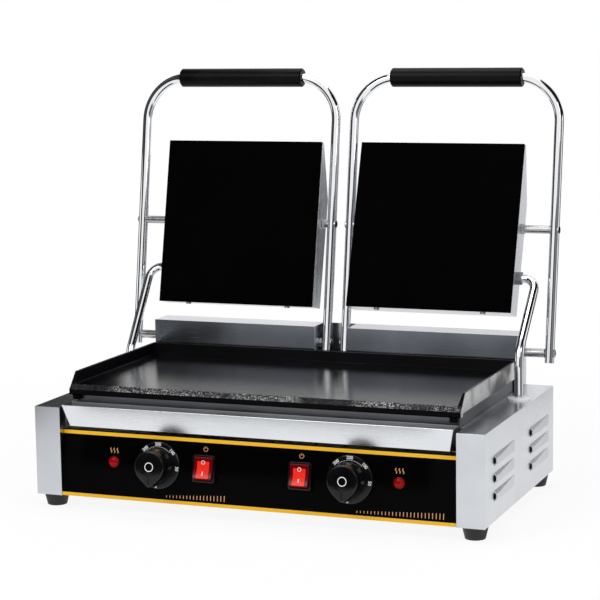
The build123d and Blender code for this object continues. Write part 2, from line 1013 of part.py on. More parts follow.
def knob(side):
    """Dial skirt, tapering grip with its pointer lobe and a shallow dish in the face."""
    x, z = side * knob_x, control_height
    foot = -dial_gap - dial_thickness
    front = foot - knob_depth
    skirt = rod_y(dial_radius, foot, -dial_gap, x, z)
    skirt = chamfer(skirt.edges().sort_by(Axis.Y)[0], dial_thickness / 3)
    back_ring = Plane(origin=(x, foot, z), z_dir=(0, -1, 0)) * Circle(grip_back_radius)
    front_ring = Plane(origin=(x, front, z), z_dir=(0, -1, 0)) * Circle(grip_front_radius)
    grip = loft([back_ring.face(), front_ring.face()])
    grip = fillet(grip.edges().sort_by(Axis.Y)[0], knob_edge_radius)
    pointer = block(
        x - pointer_width / 2,
        x + pointer_width / 2,
        front + 2 * knob_edge_radius,
        foot,
        z - pointer_reach,
        z,
    )
    pointer_edges = pointer.edges().filter_by(Axis.Y).group_by(Axis.Z)[0]
    pointer = fillet(pointer_edges, pointer_width / 3)
    dish = rod_y(knob_dish_radius, front, front + knob_dish_depth, x, z)
    dish -= rod_y(knob_badge_radius, front, front + knob_dish_depth, x, z)
    shape = skirt + grip + pointer - dish
    return panel_frame * (shape - rod_y(spindle_radius, -spindle_length, 0, x, z))


def spindle(side):
    """Thermostat spindle inside the knob."""
    x, z = side * knob_x, control_height
    shaft = rod_y(spindle_radius, -spindle_length, panel_thickness + thermostat_depth / 2, x, z)
    return panel_frame * shaft


def thermostat(side):
    """Capillary thermostat behind the panel, its neck through the panel's hole."""
    x, z = side * knob_x, control_height
    body = block(
        x - thermostat_width / 2,
        x + thermostat_width / 2,
        panel_thickness,
        panel_thickness + thermostat_depth,
        z - thermostat_height / 2,
        z + thermostat_height / 2,
    )
    body += rod_y(thermostat_neck_radius, 0, panel_thickness, x, z)
    body -= rod_y(
        spindle_radius + running_gap, 0, panel_thickness + thermostat_depth / 2 + fit_gap, x, z
    )
    return panel_frame * body


def thermostat_bulb(side):
    """Sensing bulb against the griddle, with its capillary down to the thermostat."""
    z = griddle_underside - bulb_radius
    x = side * bulb_x
    bulb = rod_y(bulb_radius, bulb_y() - bulb_length / 2, bulb_y() + bulb_length / 2, x, z)
    rise = control_height + thermostat_height / 2
    top = (panel_frame * Pos(0, panel_thickness + thermostat_depth / 2, rise)).position
    turn_z = (top.Z + shelf_top - sheet) / 2
    line = tube_along(
        [
            (x, bulb_y(), z),
            (x, bulb_y(), turn_z),
            (x, top.Y, turn_z),
            (side * knob_x, top.Y, turn_z),
            (side * knob_x, top.Y, top.Z + fit_gap),
        ],
        capillary_radius,
        capillary_bend,
    )
    return bulb + line


def switch_housing(side):
    """Bezel and body of a rocker switch, with the well that its rocker turns in."""
    x, z = side * switch_x, control_height
    half_x, half_z = switch_width / 2, switch_height / 2
    bezel = block(x - half_x, x + half_x, -switch_proud, 0, z - half_z, z + half_z)
    bezel = fillet(bezel.edges().filter_by(Axis.Y), switch_body_inset)
    inset = switch_body_inset
    body = block(
        x - half_x + inset,
        x + half_x - inset,
        0,
        panel_thickness + switch_body_depth,
        z - half_z + inset,
        z + half_z - inset,
    )
    axis_y = rocker_axis_y()
    room = half_x - switch_wall
    stem_room = room - inset
    drum_radius = rocker_radius + rocker_clearance
    well = rod_x(drum_radius, x - room, x + room, axis_y, z)
    well &= block(x - room, x + room, -switch_proud, axis_y + rocker_clearance, z - half_z, z + half_z)
    stem_well = rod_x(rocker_radius - inset, x - stem_room, x + stem_room, axis_y, z)
    return panel_frame * (bezel + body - well - stem_well)


def rocker_axis_y():
    """How far behind the panel's front face the rockers turn."""
    return rocker_axis_depth - switch_proud


def rocker(side):
    """Rocker, stored with its upper end pressed: two flat faces that meet over the stem."""
    x, z = side * switch_x, control_height
    axis_y = rocker_axis_y()
    half = switch_width / 2 - switch_wall - rocker_clearance
    front = -switch_proud - rocker_proud
    back = (axis_y - switch_proud) / 2
    drum = rod_x(rocker_radius, x - half, x + half, axis_y, z)
    drum &= prism_x(
        [
            (back, z - rocker_radius),
            (back, z + rocker_radius),
            (front, z + rocker_radius),
            (front + rocker_dip, z),
            (front, z - rocker_radius),
        ],
        x - half,
        x + half,
    )
    stem = half - switch_body_inset - rocker_clearance
    drum += block(x - stem, x + stem, back, axis_y, z - rocker_stem, z + rocker_stem)
    drum += rod_x(rocker_stem, x - stem, x + stem, axis_y, z)
    turn = Pos(0, axis_y, z) * Rot(-rocker_throw / 2, 0, 0) * Pos(0, -axis_y, -z)
    return panel_frame * turn * drum


def pilot_lamp(side):
    """Domed lens with its body through the panel."""
    x, z = side * lamp_x, control_height
    lens = rod_y(lamp_radius, -lamp_lens_height, 0, x, z)
    lens = fillet(lens.edges().sort_by(Axis.Y)[0], lamp_edge_radius)
    body = rod_y(lamp_body_radius, 0, panel_thickness + lamp_body_length, x, z)
    return panel_frame * (lens + body)


def foot_places():
    """The X and Y of the four feet."""
    return [
        (side * cover_centre, y)
        for side in sides.values()
        for y in (foot_inset, body_depth - foot_inset)
    ]


def foot(x, y):
    """Tapered rubber foot with a counterbore for its screw."""
    tip = Plane.XY * Circle(foot_tip_radius)
    top = Plane.XY.offset(foot_height) * Circle(foot_top_radius)
    shape = loft([tip.face(), top.face()])
    shape -= rod_z(foot_bore_radius, 0, foot_height / 2, 0, 0)
    shape -= rod_z(screw_shank_radius + running_gap, 0, foot_height, 0, 0)
    return Pos(x, y, 0) * shape


def foot_screw(x, y):
    """Screw up through a foot, with its nut inside the end cover."""
    head = rod_z(screw_head_radius, foot_height / 2 - screw_head_height, foot_height / 2, x, y)
    shank = rod_z(
        screw_shank_radius, foot_height / 2, foot_height + sheet + 2 * screw_head_height, x, y
    )
    nut = rod_z(
        screw_head_radius, foot_height + sheet, foot_height + sheet + screw_head_height, x, y
    )
    return head + shank + nut


def terminal_block():
    """Mains terminal block on the chassis floor, near the cable gland."""
    base = foot_height + sheet
    front = body_depth - sheet - gland_reach - 2 * terminal_depth
    left = gland_x - terminal_width / 2
    shape = block(
        left, left + terminal_width, front, front + terminal_depth, base, base + terminal_height
    )
    for n in range(terminal_ways):
        x = left + terminal_width * (n + 0.5) / terminal_ways
        y = front + terminal_depth / 2
        shape -= rod_z(
            screw_shank_radius, base + terminal_height / 2, base + terminal_height, x, y
        )
    return shape


def cable_gland():
    """Cable gland through the rear panel, with its lock ring inside."""
    wall = body_depth - sheet
    inner, outer = wall - gland_reach / 2, body_depth + gland_reach
    shape = rod_y(gland_radius, inner, outer, gland_x, gland_z)
    flange = gland_radius + gland_flange
    shape += rod_y(flange, body_depth, body_depth + gland_reach / 2, gland_x, gland_z)
    shape += rod_y(flange, wall - gland_reach / 3, wall, gland_x, gland_z)
    return shape - rod_y(gland_bore, inner, outer, gland_x, gland_z)


def rear_screw_places():
    """The X and Z of each screw in the rear panel."""
    inset = rear_screw_inset
    places = []
    for side in sides.values():
        x = side * (cover_inner - sheet - inset)
        places += [(x, foot_height + 2 * inset), (x, deck_top - 2 * inset)]
        for x in (housing_outer - sheet - inset, housing_inner + sheet + inset):
            places.append((side * x, housing_top - 2 * inset))
    return places


def rear_screw_hole(x, z):
    """A hole for one rear screw through the panel and the flange before it."""
    return rod_y(screw_shank_radius, body_depth - 2 * sheet, body_depth, x, z)


def rear_screws():
    """Round-head screws that hold the rear panel to the flanges before it."""
    screws = []
    for x, z in rear_screw_places():
        head = rod_y(screw_head_radius, body_depth, body_depth + screw_head_height, x, z)
        screws.append(head + rod_y(screw_shank_radius, body_depth - screw_length, body_depth, x, z))
    return screws


def lid_frame():
    """The lids' own frame at rest: the hinge line, leaning back."""
    return Pos(0, hinge_y, hinge_z) * Rot(-lid_lean, 0, 0)


def plate_frame(name):
    """A plate's own frame at rest: its pivot line, leaning back by the plate's own angle."""
    lean = radians(lid_lean)
    y = hinge_y + pivot_reach * sin(lean)
    z = hinge_z + pivot_reach * cos(lean)
    return Pos(0, y, z) * Rot(-plate_lean[name], 0, 0)


def model():
    """Every node with its solids."""
    nodes = {
        "chassis": [chassis()],
        "top_deck": [top_deck()],
        "front_wall": [front_wall()],
        "rear_panel": [rear_panel()],
        "control_panel": [control_panel()],
        "drip_tray": [drip_tray()],
        "griddle": [griddle()],
        "griddle_support": [griddle_support()],
        "lower_insulation": [lower_insulation()],
        "element_clamp_sheet": [clamp_sheet()],
        "terminal_block": [terminal_block()],
        "cable_gland": [cable_gland()],
        "rear_panel_screws": rear_screws(),
        "feet": [foot(x, y) for x, y in foot_places()],
        "foot_screws": [foot_screw(x, y) for x, y in foot_places()],
        "lower_elements": [lower_element(side) for side in sides.values()],
        "hinge_brackets": [hinge_bracket(x) for side in sides.values() for x in bracket_places(side)],
        "hinge_bushes": [hinge_bush(x) for side in sides.values() for x in bracket_places(side)],
        "counterbalance_springs": [torsion_spring(side) for side in sides.values()],
        "conduit_bushes": [conduit_bush(name, side) for name, side in sides.items()],
        "thermostats": [thermostat(side) for side in sides.values()],
        "thermostat_bulbs": [thermostat_bulb(side) for side in sides.values()],
        "switch_housings": [switch_housing(side) for side in sides.values()],
        "pilot_lamps": [pilot_lamp(side) for side in sides.values()],
    }
    for name, side in sides.items():
        lid, plate = lid_frame(), plate_frame(name)
        nodes[f"{name}_end_cover"] = [end_cover(name, side)]
        nodes[f"{name}_hinge_housing"] = [hinge_housing(side)]
        nodes[f"{name}_conduit"] = [conduit(name, side)]
        nodes[f"{name}_hinge_shaft"] = [lid * hinge_shaft(side)]
        nodes[f"{name}_handle_frame"] = [lid * handle_frame(side)]
        nodes[f"{name}_handle_grip"] = [lid * handle_grip(side)]
        nodes[f"{name}_axle_screws"] = [lid * screw for screw in axle_screws(side)]
        nodes[f"{name}_pivot_pins"] = [
            lid * Pos(0, 0, pivot_reach) * pin for pin in pivot_pins(side)
        ]
        nodes[f"{name}_upper_plate"] = [plate * upper_plate(side)]
        nodes[f"{name}_plate_cover"] = [plate * plate_cover(side)]
        nodes[f"{name}_plate_fittings"] = [plate * piece for piece in plate_fittings(side)]
        nodes[f"{name}_plate_screws"] = [plate * screw for screw in cover_screws(side)]
        nodes[f"{name}_upper_element"] = [plate * upper_element(side)]
        nodes[f"{name}_upper_insulation"] = [plate * upper_insulation(side)]
        nodes[f"{name}_knob"] = [knob(side)]
        nodes[f"{name}_spindle"] = [spindle(side)]
        nodes[f"{name}_rocker"] = [rocker(side)]
    return nodes


def middle_y(nodes):
    """The middle of the whole object, front to back."""
    boxes = [solid.bounding_box() for solids in nodes.values() for solid in solids]
    return (min(box.min.Y for box in boxes) + max(box.max.Y for box in boxes)) / 2


nodes = model()
origin_y = middle_y(nodes)
os.makedirs("parts", exist_ok=True)
for name, solids in nodes.items():
    placed = [Pos(0, -origin_y, 0) * solid for solid in solids]
    node = placed[0] if len(placed) == 1 else Compound(children=placed)
    export_step(node, f"parts/{name}.step")
print("origin is", round(origin_y, 3), "mm behind the end covers' front")
print("lid travel", round(lid_travel, 3), "degrees, plate swing", plate_swing, "degrees")
print("pin turns", round(left_pin_turn, 3), "and", round(right_pin_turn, 3), "degrees")
print("tray travel", tray_travel, "mm, knob turn", knob_turn, "degrees, rocker", rocker_throw)
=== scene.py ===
import json
import math

import bmesh
import bpy
from mathutils import Matrix, Vector

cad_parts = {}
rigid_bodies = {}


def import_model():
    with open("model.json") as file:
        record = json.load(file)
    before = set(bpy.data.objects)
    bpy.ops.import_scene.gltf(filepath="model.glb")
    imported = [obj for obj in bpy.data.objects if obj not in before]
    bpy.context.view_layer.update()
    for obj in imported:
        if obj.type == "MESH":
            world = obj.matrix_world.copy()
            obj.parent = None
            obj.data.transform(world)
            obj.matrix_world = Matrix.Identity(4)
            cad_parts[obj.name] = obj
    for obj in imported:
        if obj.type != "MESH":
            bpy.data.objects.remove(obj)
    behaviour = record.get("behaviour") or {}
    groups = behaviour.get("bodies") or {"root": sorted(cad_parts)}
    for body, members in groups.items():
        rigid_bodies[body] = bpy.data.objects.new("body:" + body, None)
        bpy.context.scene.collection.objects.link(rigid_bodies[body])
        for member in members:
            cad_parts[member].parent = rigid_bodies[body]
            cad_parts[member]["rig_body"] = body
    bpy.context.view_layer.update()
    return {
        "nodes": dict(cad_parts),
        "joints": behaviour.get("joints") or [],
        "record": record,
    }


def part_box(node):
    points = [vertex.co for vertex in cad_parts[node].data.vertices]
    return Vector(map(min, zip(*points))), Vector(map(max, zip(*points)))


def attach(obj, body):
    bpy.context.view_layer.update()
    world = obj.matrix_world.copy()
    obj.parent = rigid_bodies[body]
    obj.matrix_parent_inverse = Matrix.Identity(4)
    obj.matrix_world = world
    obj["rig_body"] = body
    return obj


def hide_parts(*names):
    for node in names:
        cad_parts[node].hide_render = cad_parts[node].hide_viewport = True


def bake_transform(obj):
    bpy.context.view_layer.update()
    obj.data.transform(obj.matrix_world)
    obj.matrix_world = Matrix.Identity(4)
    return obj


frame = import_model()
scene = bpy.context.scene
nodes = frame["nodes"]
joints = {joint["name"]: joint for joint in frame["joints"]}
slot_of = {part["node"]: part["material_slot"] for part in frame["record"]["subparts"]}
sides = {"left": -1, "right": 1}
mm = 0.001

# Places that everything else is worked out from
front_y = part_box("left_end_cover")[0].y
deck_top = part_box("left_end_cover")[1].z
griddle_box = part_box("griddle")
knob_joint = joints["right_knob_turn"]
inward = Vector(knob_joint["axis"]).normalized()
outward = -inward
upward = Vector((0, -inward.z, inward.y))
control_height = 44.5 * mm
panel_foot = Vector((0, *knob_joint["pos_m"][1:])) - upward * control_height
knob_x = knob_joint["pos_m"][0]
switch_x = joints["right_rocker_rock"]["pos_m"][0]
lamp_radius = 6.6 * mm
lamp_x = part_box("pilot_lamps")[1].x - lamp_radius

# Camera
camera_target = Vector((5.3 * mm, front_y + 150 * mm, 241.1 * mm))
camera_distance = 2432 * mm
camera_azimuth = 21.38
camera_elevation = 8.22
camera_roll = -0.86
camera_lens = 120.8
sensor_width = 36.0

# Marks on the panel
stripe_low_top = 4.2 * mm
stripe_high_foot = 74.7 * mm
stripe_high_top = 79.0 * mm
mark_rise = 0.1 * mm
mark_width = 0.9 * mm
heat_mark_up = 58 * mm
heat_wave_gap = 4.2 * mm
heat_wave_swing = 0.8 * mm
heat_wave_step = 0.75 * mm
heat_wave_steps = 8
power_mark_up = 67 * mm
power_ring_radius = 2.6 * mm
power_ring_start = 125
power_ring_end = 415
power_bar_foot = 0.6 * mm
power_bar_top = 3.4 * mm
power_mark_width = 0.7 * mm
ramp_up = 7 * mm
ramp_rise = 7 * mm
ramp_lowest_share = 0.35
ramp_pitch = 4.3 * mm
left_ramp = (-108.7 * mm, -34.9 * mm)
right_ramp = (128.8 * mm, 231.4 * mm)

# Knobs
dial_radius = 28 * mm
dial_gap = 0.6 * mm
dial_thickness = 3.5 * mm
dial_chamfer = 1.2 * mm
dial_back_edge = 0.3 * mm
dial_shoulder_in = 0.3 * mm
dial_shoulder_share = 0.6
knob_depth = 24.4 * mm
grip_sink = 0.05 * mm
grip_back_radius = 20.5 * mm
grip_front_radius = 18.7 * mm
grip_edge = 2 * mm
grip_edge_steps = 6
lobe_radius = 4.5 * mm
lobe_reach = 24.5 * mm
lobe_draft = 1 * mm
dish_radius = 11.4 * mm
dish_depth = 1.4 * mm
dish_slope = 0.5 * mm
boss_radius = 6 * mm
boss_slope = 0.4 * mm

# Marks on the knobs, with angles in degrees clockwise from the top
dial_numbers = {"0": 183, "50": 96, "100": 47, "200": 0, "300": -41}
numeral_radius = 24.8 * mm
numeral_height = 3.7 * mm
dot_radius = 22 * mm
dot_size = 0.45 * mm
dot_count = 16
dot_start = -36
dot_pitch = 5.2
boss_ring_inner = 4.5 * mm
boss_ring_outer = 5.5 * mm
groove_near = 12.5 * mm
groove_far = 21 * mm
groove_width = 1.1 * mm

# Rockers and their marks
rocker_axis_depth = 1 * mm
rocker_front = 9.2 * mm
rocker_dip = 2.4 * mm
rocker_half_height = 14.5 * mm
rocker_throw = 20
lit_half_width = 7.6 * mm
lit_half_height = 9.6 * mm
rocker_mark_lift = 0.12 * mm
rocker_ring_height = 6.6 * mm
rocker_ring_inner = 1.8 * mm
rocker_ring_outer = 2.4 * mm
rocker_bar_height = -6.4 * mm
rocker_bar_half = 2.2 * mm
rocker_bar_width = 1.3 * mm

# Lamps
lens_height = 3.5 * mm
lens_steps = 8
collar_height = 1.2 * mm
collar_width = 1.0 * mm
collar_edge = 0.3 * mm
lamp_body_radius = 5 * mm
lamp_body_depth = 24 * mm

# Discs of painted shade over the pins' socket holes
cap_gap = 0.02 * mm
cap_radius = 4.4 * mm
cap_edge_radius = 4.2 * mm
cap_edge_rise = 0.5 * mm
cap_crown_radius = 2.5 * mm
cap_crown_rise = 0.75 * mm
cap_dimple_radius = 2.1 * mm
cap_dimple_rise = 0.4 * mm

# Louvres and wiring tubes
louvre_depth = 3 * mm
louvre_margin = 0.1 * mm
louvre_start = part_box("right_end_cover")[1].x - louvre_depth + louvre_margin
tube_radius = 5.5 * mm
tube_ring_gap = 6 * mm
knee_radius = 40 * mm
top_radius = 17.5 * mm
knee_height = {"left": deck_top + 28 * mm, "right": deck_top + 56.8 * mm}
lid_length_share = 0.45
pins_length_share = 0.62

# Screw heads, in shares of the head's radius and height
dome_foot = 0.3
dome_angles = (22, 45, 67)
cross_half_width = 0.13
cross_reach = 0.55
cross_floor = 0.35
cross_top = 1.2

# Sides of turned pieces, and the distance in metres under which two points are one
turned_sides = 48
small_sides = 10
same_place = 1e-6


def place(obj, body):
    """Put a finished piece on its body."""
    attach(obj, body)
    return obj


def new_object(name, mesh, material=None):
    """An object in the scene from a mesh, in one material if it is given."""
    obj = bpy.data.objects.new(name, mesh)
    scene.collection.objects.link(obj)
    if material:
        mesh.materials.clear()
        mesh.materials.append(material)
    return obj


def skin(rings, closed=False):
    """A mesh through rings of points, where a ring of one point is a pole."""
    points, faces, spans = [], [], []
    for ring in rings:
        spans.append((len(points), len(ring)))
        points.extend(ring)
    pairs = list(zip(spans, spans[1:]))
    if closed:
        pairs.append((spans[-1], spans[0]))
    for (first, count), (following, next_count) in pairs:
        for i in range(max(count, next_count)):
            corners = (
                first + i % count,
                first + (i + 1) % count,
                following + (i + 1) % next_count,
                following + i % next_count,
            )
            faces.append(list(dict.fromkeys(corners)))
    mesh = bpy.data.meshes.new("skin")
    mesh.from_pydata(points, [], faces)
    work = bmesh.new()
    work.from_mesh(mesh)
    bmesh.ops.recalc_face_normals(work, faces=work.faces)
    work.to_mesh(mesh)
    work.free()
    return mesh


def circle(radius, height, matrix, steps=turned_sides):
    """A ring of points round a frame's own Z, or its pole where the radius is nothing."""
    if radius == 0:
        return [matrix @ Vector((0, 0, height))]
    turns = [2 * math.pi * i / steps for i in range(steps)]
    return [matrix @ Vector((radius * math.cos(t), radius * math.sin(t), height)) for t in turns]


def lathe(profile, matrix, closed=False, steps=turned_sides):
    """A turned body from a profile of radius and height."""
    return skin([circle(radius, height, matrix, steps) for radius, height in profile], closed)


def flat_ring(inner, outer, foot, matrix, steps=turned_sides):
    """A thin raised ring round a frame's own Z."""
    top = foot + mark_rise
    return lathe([(inner, foot), (outer, foot), (outer, top), (inner, top)], matrix, True, steps)


def joined(meshes):
    """Several meshes as one."""
    work = bmesh.new()
    for mesh in meshes:
        work.from_mesh(mesh)
    whole = bpy.data.meshes.new("joined")
    work.to_mesh(whole)
    work.free()
    return whole


def stroke(path, width, matrix):
    """A raised line of constant width along a path in a frame's own XY."""
    rings = []
    for i, (x, y) in enumerate(path):
        before = Vector(path[max(i - 1, 0)])
        after = Vector(path[min(i + 1, len(path) - 1)])
        along = (after - before).normalized()
        across = Vector((-along.y, along.x)) * width / 2
        low, high = Vector((x, y)) - across, Vector((x, y)) + across
        ring = [(low.x, low.y, 0), (high.x, high.y, 0)]
        ring += [(high.x, high.y, mark_rise), (low.x, low.y, mark_rise)]
        rings.append([matrix @ Vector(point) for point in ring])
    start = sum(rings[0], Vector()) / 4
    end = sum(rings[-1], Vector()) / 4
    return skin([[start], *rings, [end]])


def upright(start, end):
    """The path of a straight stroke along a frame's own Y."""
    return [(0, start), (0, (start + end) / 2), (0, end)]


def arc(radius, start, end, steps=24):
    """Points of an arc in XY, in degrees."""
    turns = [math.radians(start + (end - start) * i / steps) for i in range(steps + 1)]
    return [(radius * math.cos(t), radius * math.sin(t)) for t in turns]


def panel_axes():
    """Turns X, Y and Z to the panel's right, up the panel and out of it."""
    return Matrix((Vector((1, 0, 0)), upward, outward)).transposed().to_4x4()


def on_panel(x, up):
    """A frame on the panel: X to the right, Y up the panel and Z out of it."""
    spot = panel_foot + upward * up
    spot.x = x
    return Matrix.Translation(spot) @ panel_axes()


def smooth(mesh, angle):
    """Shade a mesh smooth, with sharp edges where it turns by more than the angle."""
    for face in mesh.polygons:
        face.use_smooth = True
    mesh.set_sharp_from_angle(angle=math.radians(angle))


# Materials


def graph(name, colour, metallic, roughness):
    """A new material: its node tree and its Principled shader."""
    material = bpy.data.materials.new(name)
    material.use_nodes = True
    material.diffuse_color = (*colour, 1)
    tree = material.node_tree
    shader = tree.nodes["Principled BSDF"]
    shader.inputs["Base Color"].default_value = (*colour, 1)
    shader.inputs["Metallic"].default_value = metallic
    shader.inputs["Roughness"].default_value = roughness
    return material, tree, shader


def coordinates(tree, stretch=(1, 1, 1)):
    """Object coordinates, squeezed or stretched along each axis."""
    source = tree.nodes.new("ShaderNodeTexCoord")
    mapping = tree.nodes.new("ShaderNodeMapping")
    mapping.inputs["Scale"].default_value = stretch
    tree.links.new(source.outputs["Object"], mapping.inputs["Vector"])
    return mapping.outputs["Vector"]


def noise(tree, scale, detail=2, roughness=0.5, stretch=(1, 1, 1)):
    """A noise value over the surface."""
    texture = tree.nodes.new("ShaderNodeTexNoise")
    texture.inputs["Scale"].default_value = scale
    texture.inputs["Detail"].default_value = detail
    texture.inputs["Roughness"].default_value = roughness
    tree.links.new(coordinates(tree, stretch), texture.inputs["Vector"])
    return texture.outputs["Fac"]


def spread(tree, value, low, high, start=0.3, end=0.7):
    """The value from start to end, mapped to low to high."""
    node = tree.nodes.new("ShaderNodeMapRange")
    node.inputs["From Min"].default_value = start
    node.inputs["From Max"].default_value = end
    node.inputs["To Min"].default_value = low
    node.inputs["To Max"].default_value = high
    tree.links.new(value, node.inputs["Value"])
    return node.outputs["Result"]


def blend_colours(tree, factor, low, high):
    """A colour between two, by a factor."""
    node = tree.nodes.new("ShaderNodeMix")
    node.data_type = "RGBA"
    node.inputs["A"].default_value = (*low, 1)
    node.inputs["B"].default_value = (*high, 1)
    tree.links.new(factor, node.inputs["Factor"])
    return node.outputs["Result"]


def calculate(tree, way, *values):
    """A value worked out from others, each of them a socket or a number."""
    node = tree.nodes.new("ShaderNodeMath")
    node.operation = way
    for entry, value in zip(node.inputs, values):
        if isinstance(value, (int, float)):
            entry.default_value = value
        else:
            tree.links.new(value, entry)
    return node.outputs[0]


def across_and_up(tree):
    """The surface's place along X and along Z."""
    split = tree.nodes.new("ShaderNodeSeparateXYZ")
    tree.links.new(coordinates(tree), split.inputs[0])
    return split.outputs["X"], split.outputs["Z"]


def tint(tree, shader, factor, dark, light):
    """Base colour that drifts between two."""
    tree.links.new(blend_colours(tree, factor, dark, light), shader.inputs["Base Color"])


def raise_surface(tree, shader, height, strength, distance):
    """Bump on the shader from a height value."""
    node = tree.nodes.new("ShaderNodeBump")
    node.inputs["Strength"].default_value = strength
    node.inputs["Distance"].default_value = distance
    tree.links.new(height, node.inputs["Height"])
    tree.links.new(node.outputs["Normal"], shader.inputs["Normal"])


def brushed(name, dark, light, rough, along):
    """Brushed metal whose fine scratches run along one axis."""
    material, tree, shader = graph(name, light, 1.0, rough[1])
    stretch = [1.0, 1.0, 1.0]
    stretch["xyz".index(along)] = 0.012
    grain = noise(tree, scale=2400, roughness=0.4, stretch=stretch)
    cloud = noise(tree, scale=9, detail=3, roughness=0.55)
    tint(tree, shader, spread(tree, cloud, 0, 1), dark, light)
    scratches = spread(tree, grain, *rough)
    wipes = spread(tree, cloud, low=-0.03, high=0.05)
    tree.links.new(calculate(tree, "ADD", scratches, wipes), shader.inputs["Roughness"])
    raise_surface(tree, shader, grain, strength=0.015, distance=0.02 * mm)
    return material


def polished(name, colour, roughness):
    """Smooth bright metal with faint smears."""
    material, tree, shader = graph(name, colour, 1.0, roughness)
    smear = noise(tree, scale=30, detail=3, roughness=0.6)
    smeared = spread(tree, smear, low=roughness * 0.7, high=roughness * 1.8)
    tree.links.new(smeared, shader.inputs["Roughness"])
    raise_surface(tree, shader, noise(tree, scale=260), strength=0.008, distance=0.05 * mm)
    return material


def cast(name, dark, light, roughness, grain_scale, strength, gloss):
    """Seasoned or enamelled cast iron: black, with a fine grain and as much gloss as asked."""
    material, tree, shader = graph(name, light, 0.0, roughness)
    shader.inputs["Specular IOR Level"].default_value = gloss
    grain = noise(tree, grain_scale, detail=3, roughness=0.65)
    patch = noise(tree, scale=14, detail=4, roughness=0.6)
    tint(tree, shader, spread(tree, patch, 0, 1), dark, light)
    grainy = spread(tree, grain, low=roughness * 0.75, high=roughness * 1.35)
    tree.links.new(grainy, shader.inputs["Roughness"])
    raise_surface(tree, shader, grain, strength, distance=0.25 * mm)
    return material


def glinting_iron(name, dark_below, bright_above, patches, bright):
    """Black cast iron with painted glints: bright metallic specks, in patches of a size."""
    material, tree, shader = graph(name, (0.12, 0.12, 0.12), metallic=0.4, roughness=0.35)
    shader.inputs["Specular IOR Level"].default_value = 0.1
    specks = noise(tree, scale=620, detail=3, roughness=0.75)
    shade = spread(tree, specks, 0, 1, start=dark_below, end=bright_above)
    patch = spread(tree, noise(tree, patches), low=0.1, high=1, start=0.42, end=0.58)
    shade = calculate(tree, "MULTIPLY", shade, patch)
    tint(tree, shader, shade, dark=(0.004, 0.004, 0.005), light=(bright, bright, bright))
    tree.links.new(shade, shader.inputs["Metallic"])
    raise_surface(tree, shader, specks, strength=0.5, distance=0.2 * mm)
    return material


def moulded(name, dark, light, roughness, grain_scale=700, strength=0.15, gloss=0.5):
    """Moulded plastic or rubber with a fine grain."""
    material, tree, shader = graph(name, light, 0.0, roughness)
    shader.inputs["Specular IOR Level"].default_value = gloss
    grain = noise(tree, grain_scale, roughness=0.6)
    patch = noise(tree, scale=35, detail=3)
    tint(tree, shader, spread(tree, patch, 0, 1), dark, light)
    handled = spread(tree, patch, low=roughness * 0.8, high=roughness * 1.2)
    tree.links.new(handled, shader.inputs["Roughness"])
    raise_surface(tree, shader, grain, strength, distance=0.08 * mm)
    return material


def striped_panel():
    """Glossy black panel with a yellow stripe along its foot and its top."""
    yellow, black = (0.9, 0.5, 0.035), (0.001, 0.001, 0.0014)
    material, tree, shader = graph("panel_gloss", black, metallic=0.0, roughness=0.16)
    shader.inputs["Specular IOR Level"].default_value = 0.025
    height = across_and_up(tree)[1]
    low_top, high_foot, high_top = (
        (panel_foot + upward * up).z for up in (stripe_low_top, stripe_high_foot, stripe_high_top)
    )
    low_stripe = calculate(tree, "LESS_THAN", height, low_top)
    above = calculate(tree, "GREATER_THAN", height, high_foot)
    under = calculate(tree, "LESS_THAN", height, high_top)
    high_stripe = calculate(tree, "MULTIPLY", above, under)
    tint(tree, shader, calculate(tree, "MAXIMUM", low_stripe, high_stripe), black, yellow)
    dust = noise(tree, scale=60, detail=4, roughness=0.6)
    tree.links.new(spread(tree, dust, low=0.13, high=0.22), shader.inputs["Roughness"])
    raise_surface(tree, shader, noise(tree, scale=90), strength=0.02, distance=0.1 * mm)
    return material


def lit_rocker():
    """Red rocker with painted light: a bright middle, painted as if lit from within, inside a dark
    red border.
    """
    material, tree, shader = graph("rocker_red", (0.9, 0.03, 0.015), metallic=0.0, roughness=0.14)
    shader.inputs["Specular IOR Level"].default_value = 0.2
    sideways, height = across_and_up(tree)
    middle = (panel_foot + upward * control_height).z
    sideways = calculate(tree, "ABSOLUTE", sideways)
    across = calculate(tree, "COMPARE", sideways, switch_x, lit_half_width)
    up = calculate(tree, "COMPARE", height, middle, lit_half_height)
    inside = calculate(tree, "MULTIPLY", across, up)
    # Painted glow in the middle of the rocker, darker towards its border.
    cloud = spread(tree, noise(tree, scale=60), 0, 1)
    bright = blend_colours(tree, cloud, low=(0.8, 0.018, 0.012), high=(0.95, 0.035, 0.02))
    mix = tree.nodes.new("ShaderNodeMix")
    mix.data_type = "RGBA"
    mix.inputs["A"].default_value = (0.13, 0.001, 0.003, 1)
    tree.links.new(bright, mix.inputs["B"])
    tree.links.new(inside, mix.inputs["Factor"])
    tree.links.new(mix.outputs["Result"], shader.inputs["Base Color"])
    raise_surface(tree, shader, noise(tree, scale=200), strength=0.03, distance=0.05 * mm)
    return material


def matted_wool():
    """Pale mineral wool, matted and fibrous."""
    material, tree, shader = graph("mineral_wool", (0.62, 0.57, 0.45), metallic=0.0, roughness=0.95)
    fibres = noise(tree, scale=420, detail=6, roughness=0.75, stretch=(1, 1, 0.3))
    tufts = spread(tree, fibres, 0, 1)
    tint(tree, shader, tufts, dark=(0.5, 0.45, 0.34), light=(0.78, 0.74, 0.64))
    raise_surface(tree, shader, fibres, strength=0.8, distance=0.6 * mm)
    return material


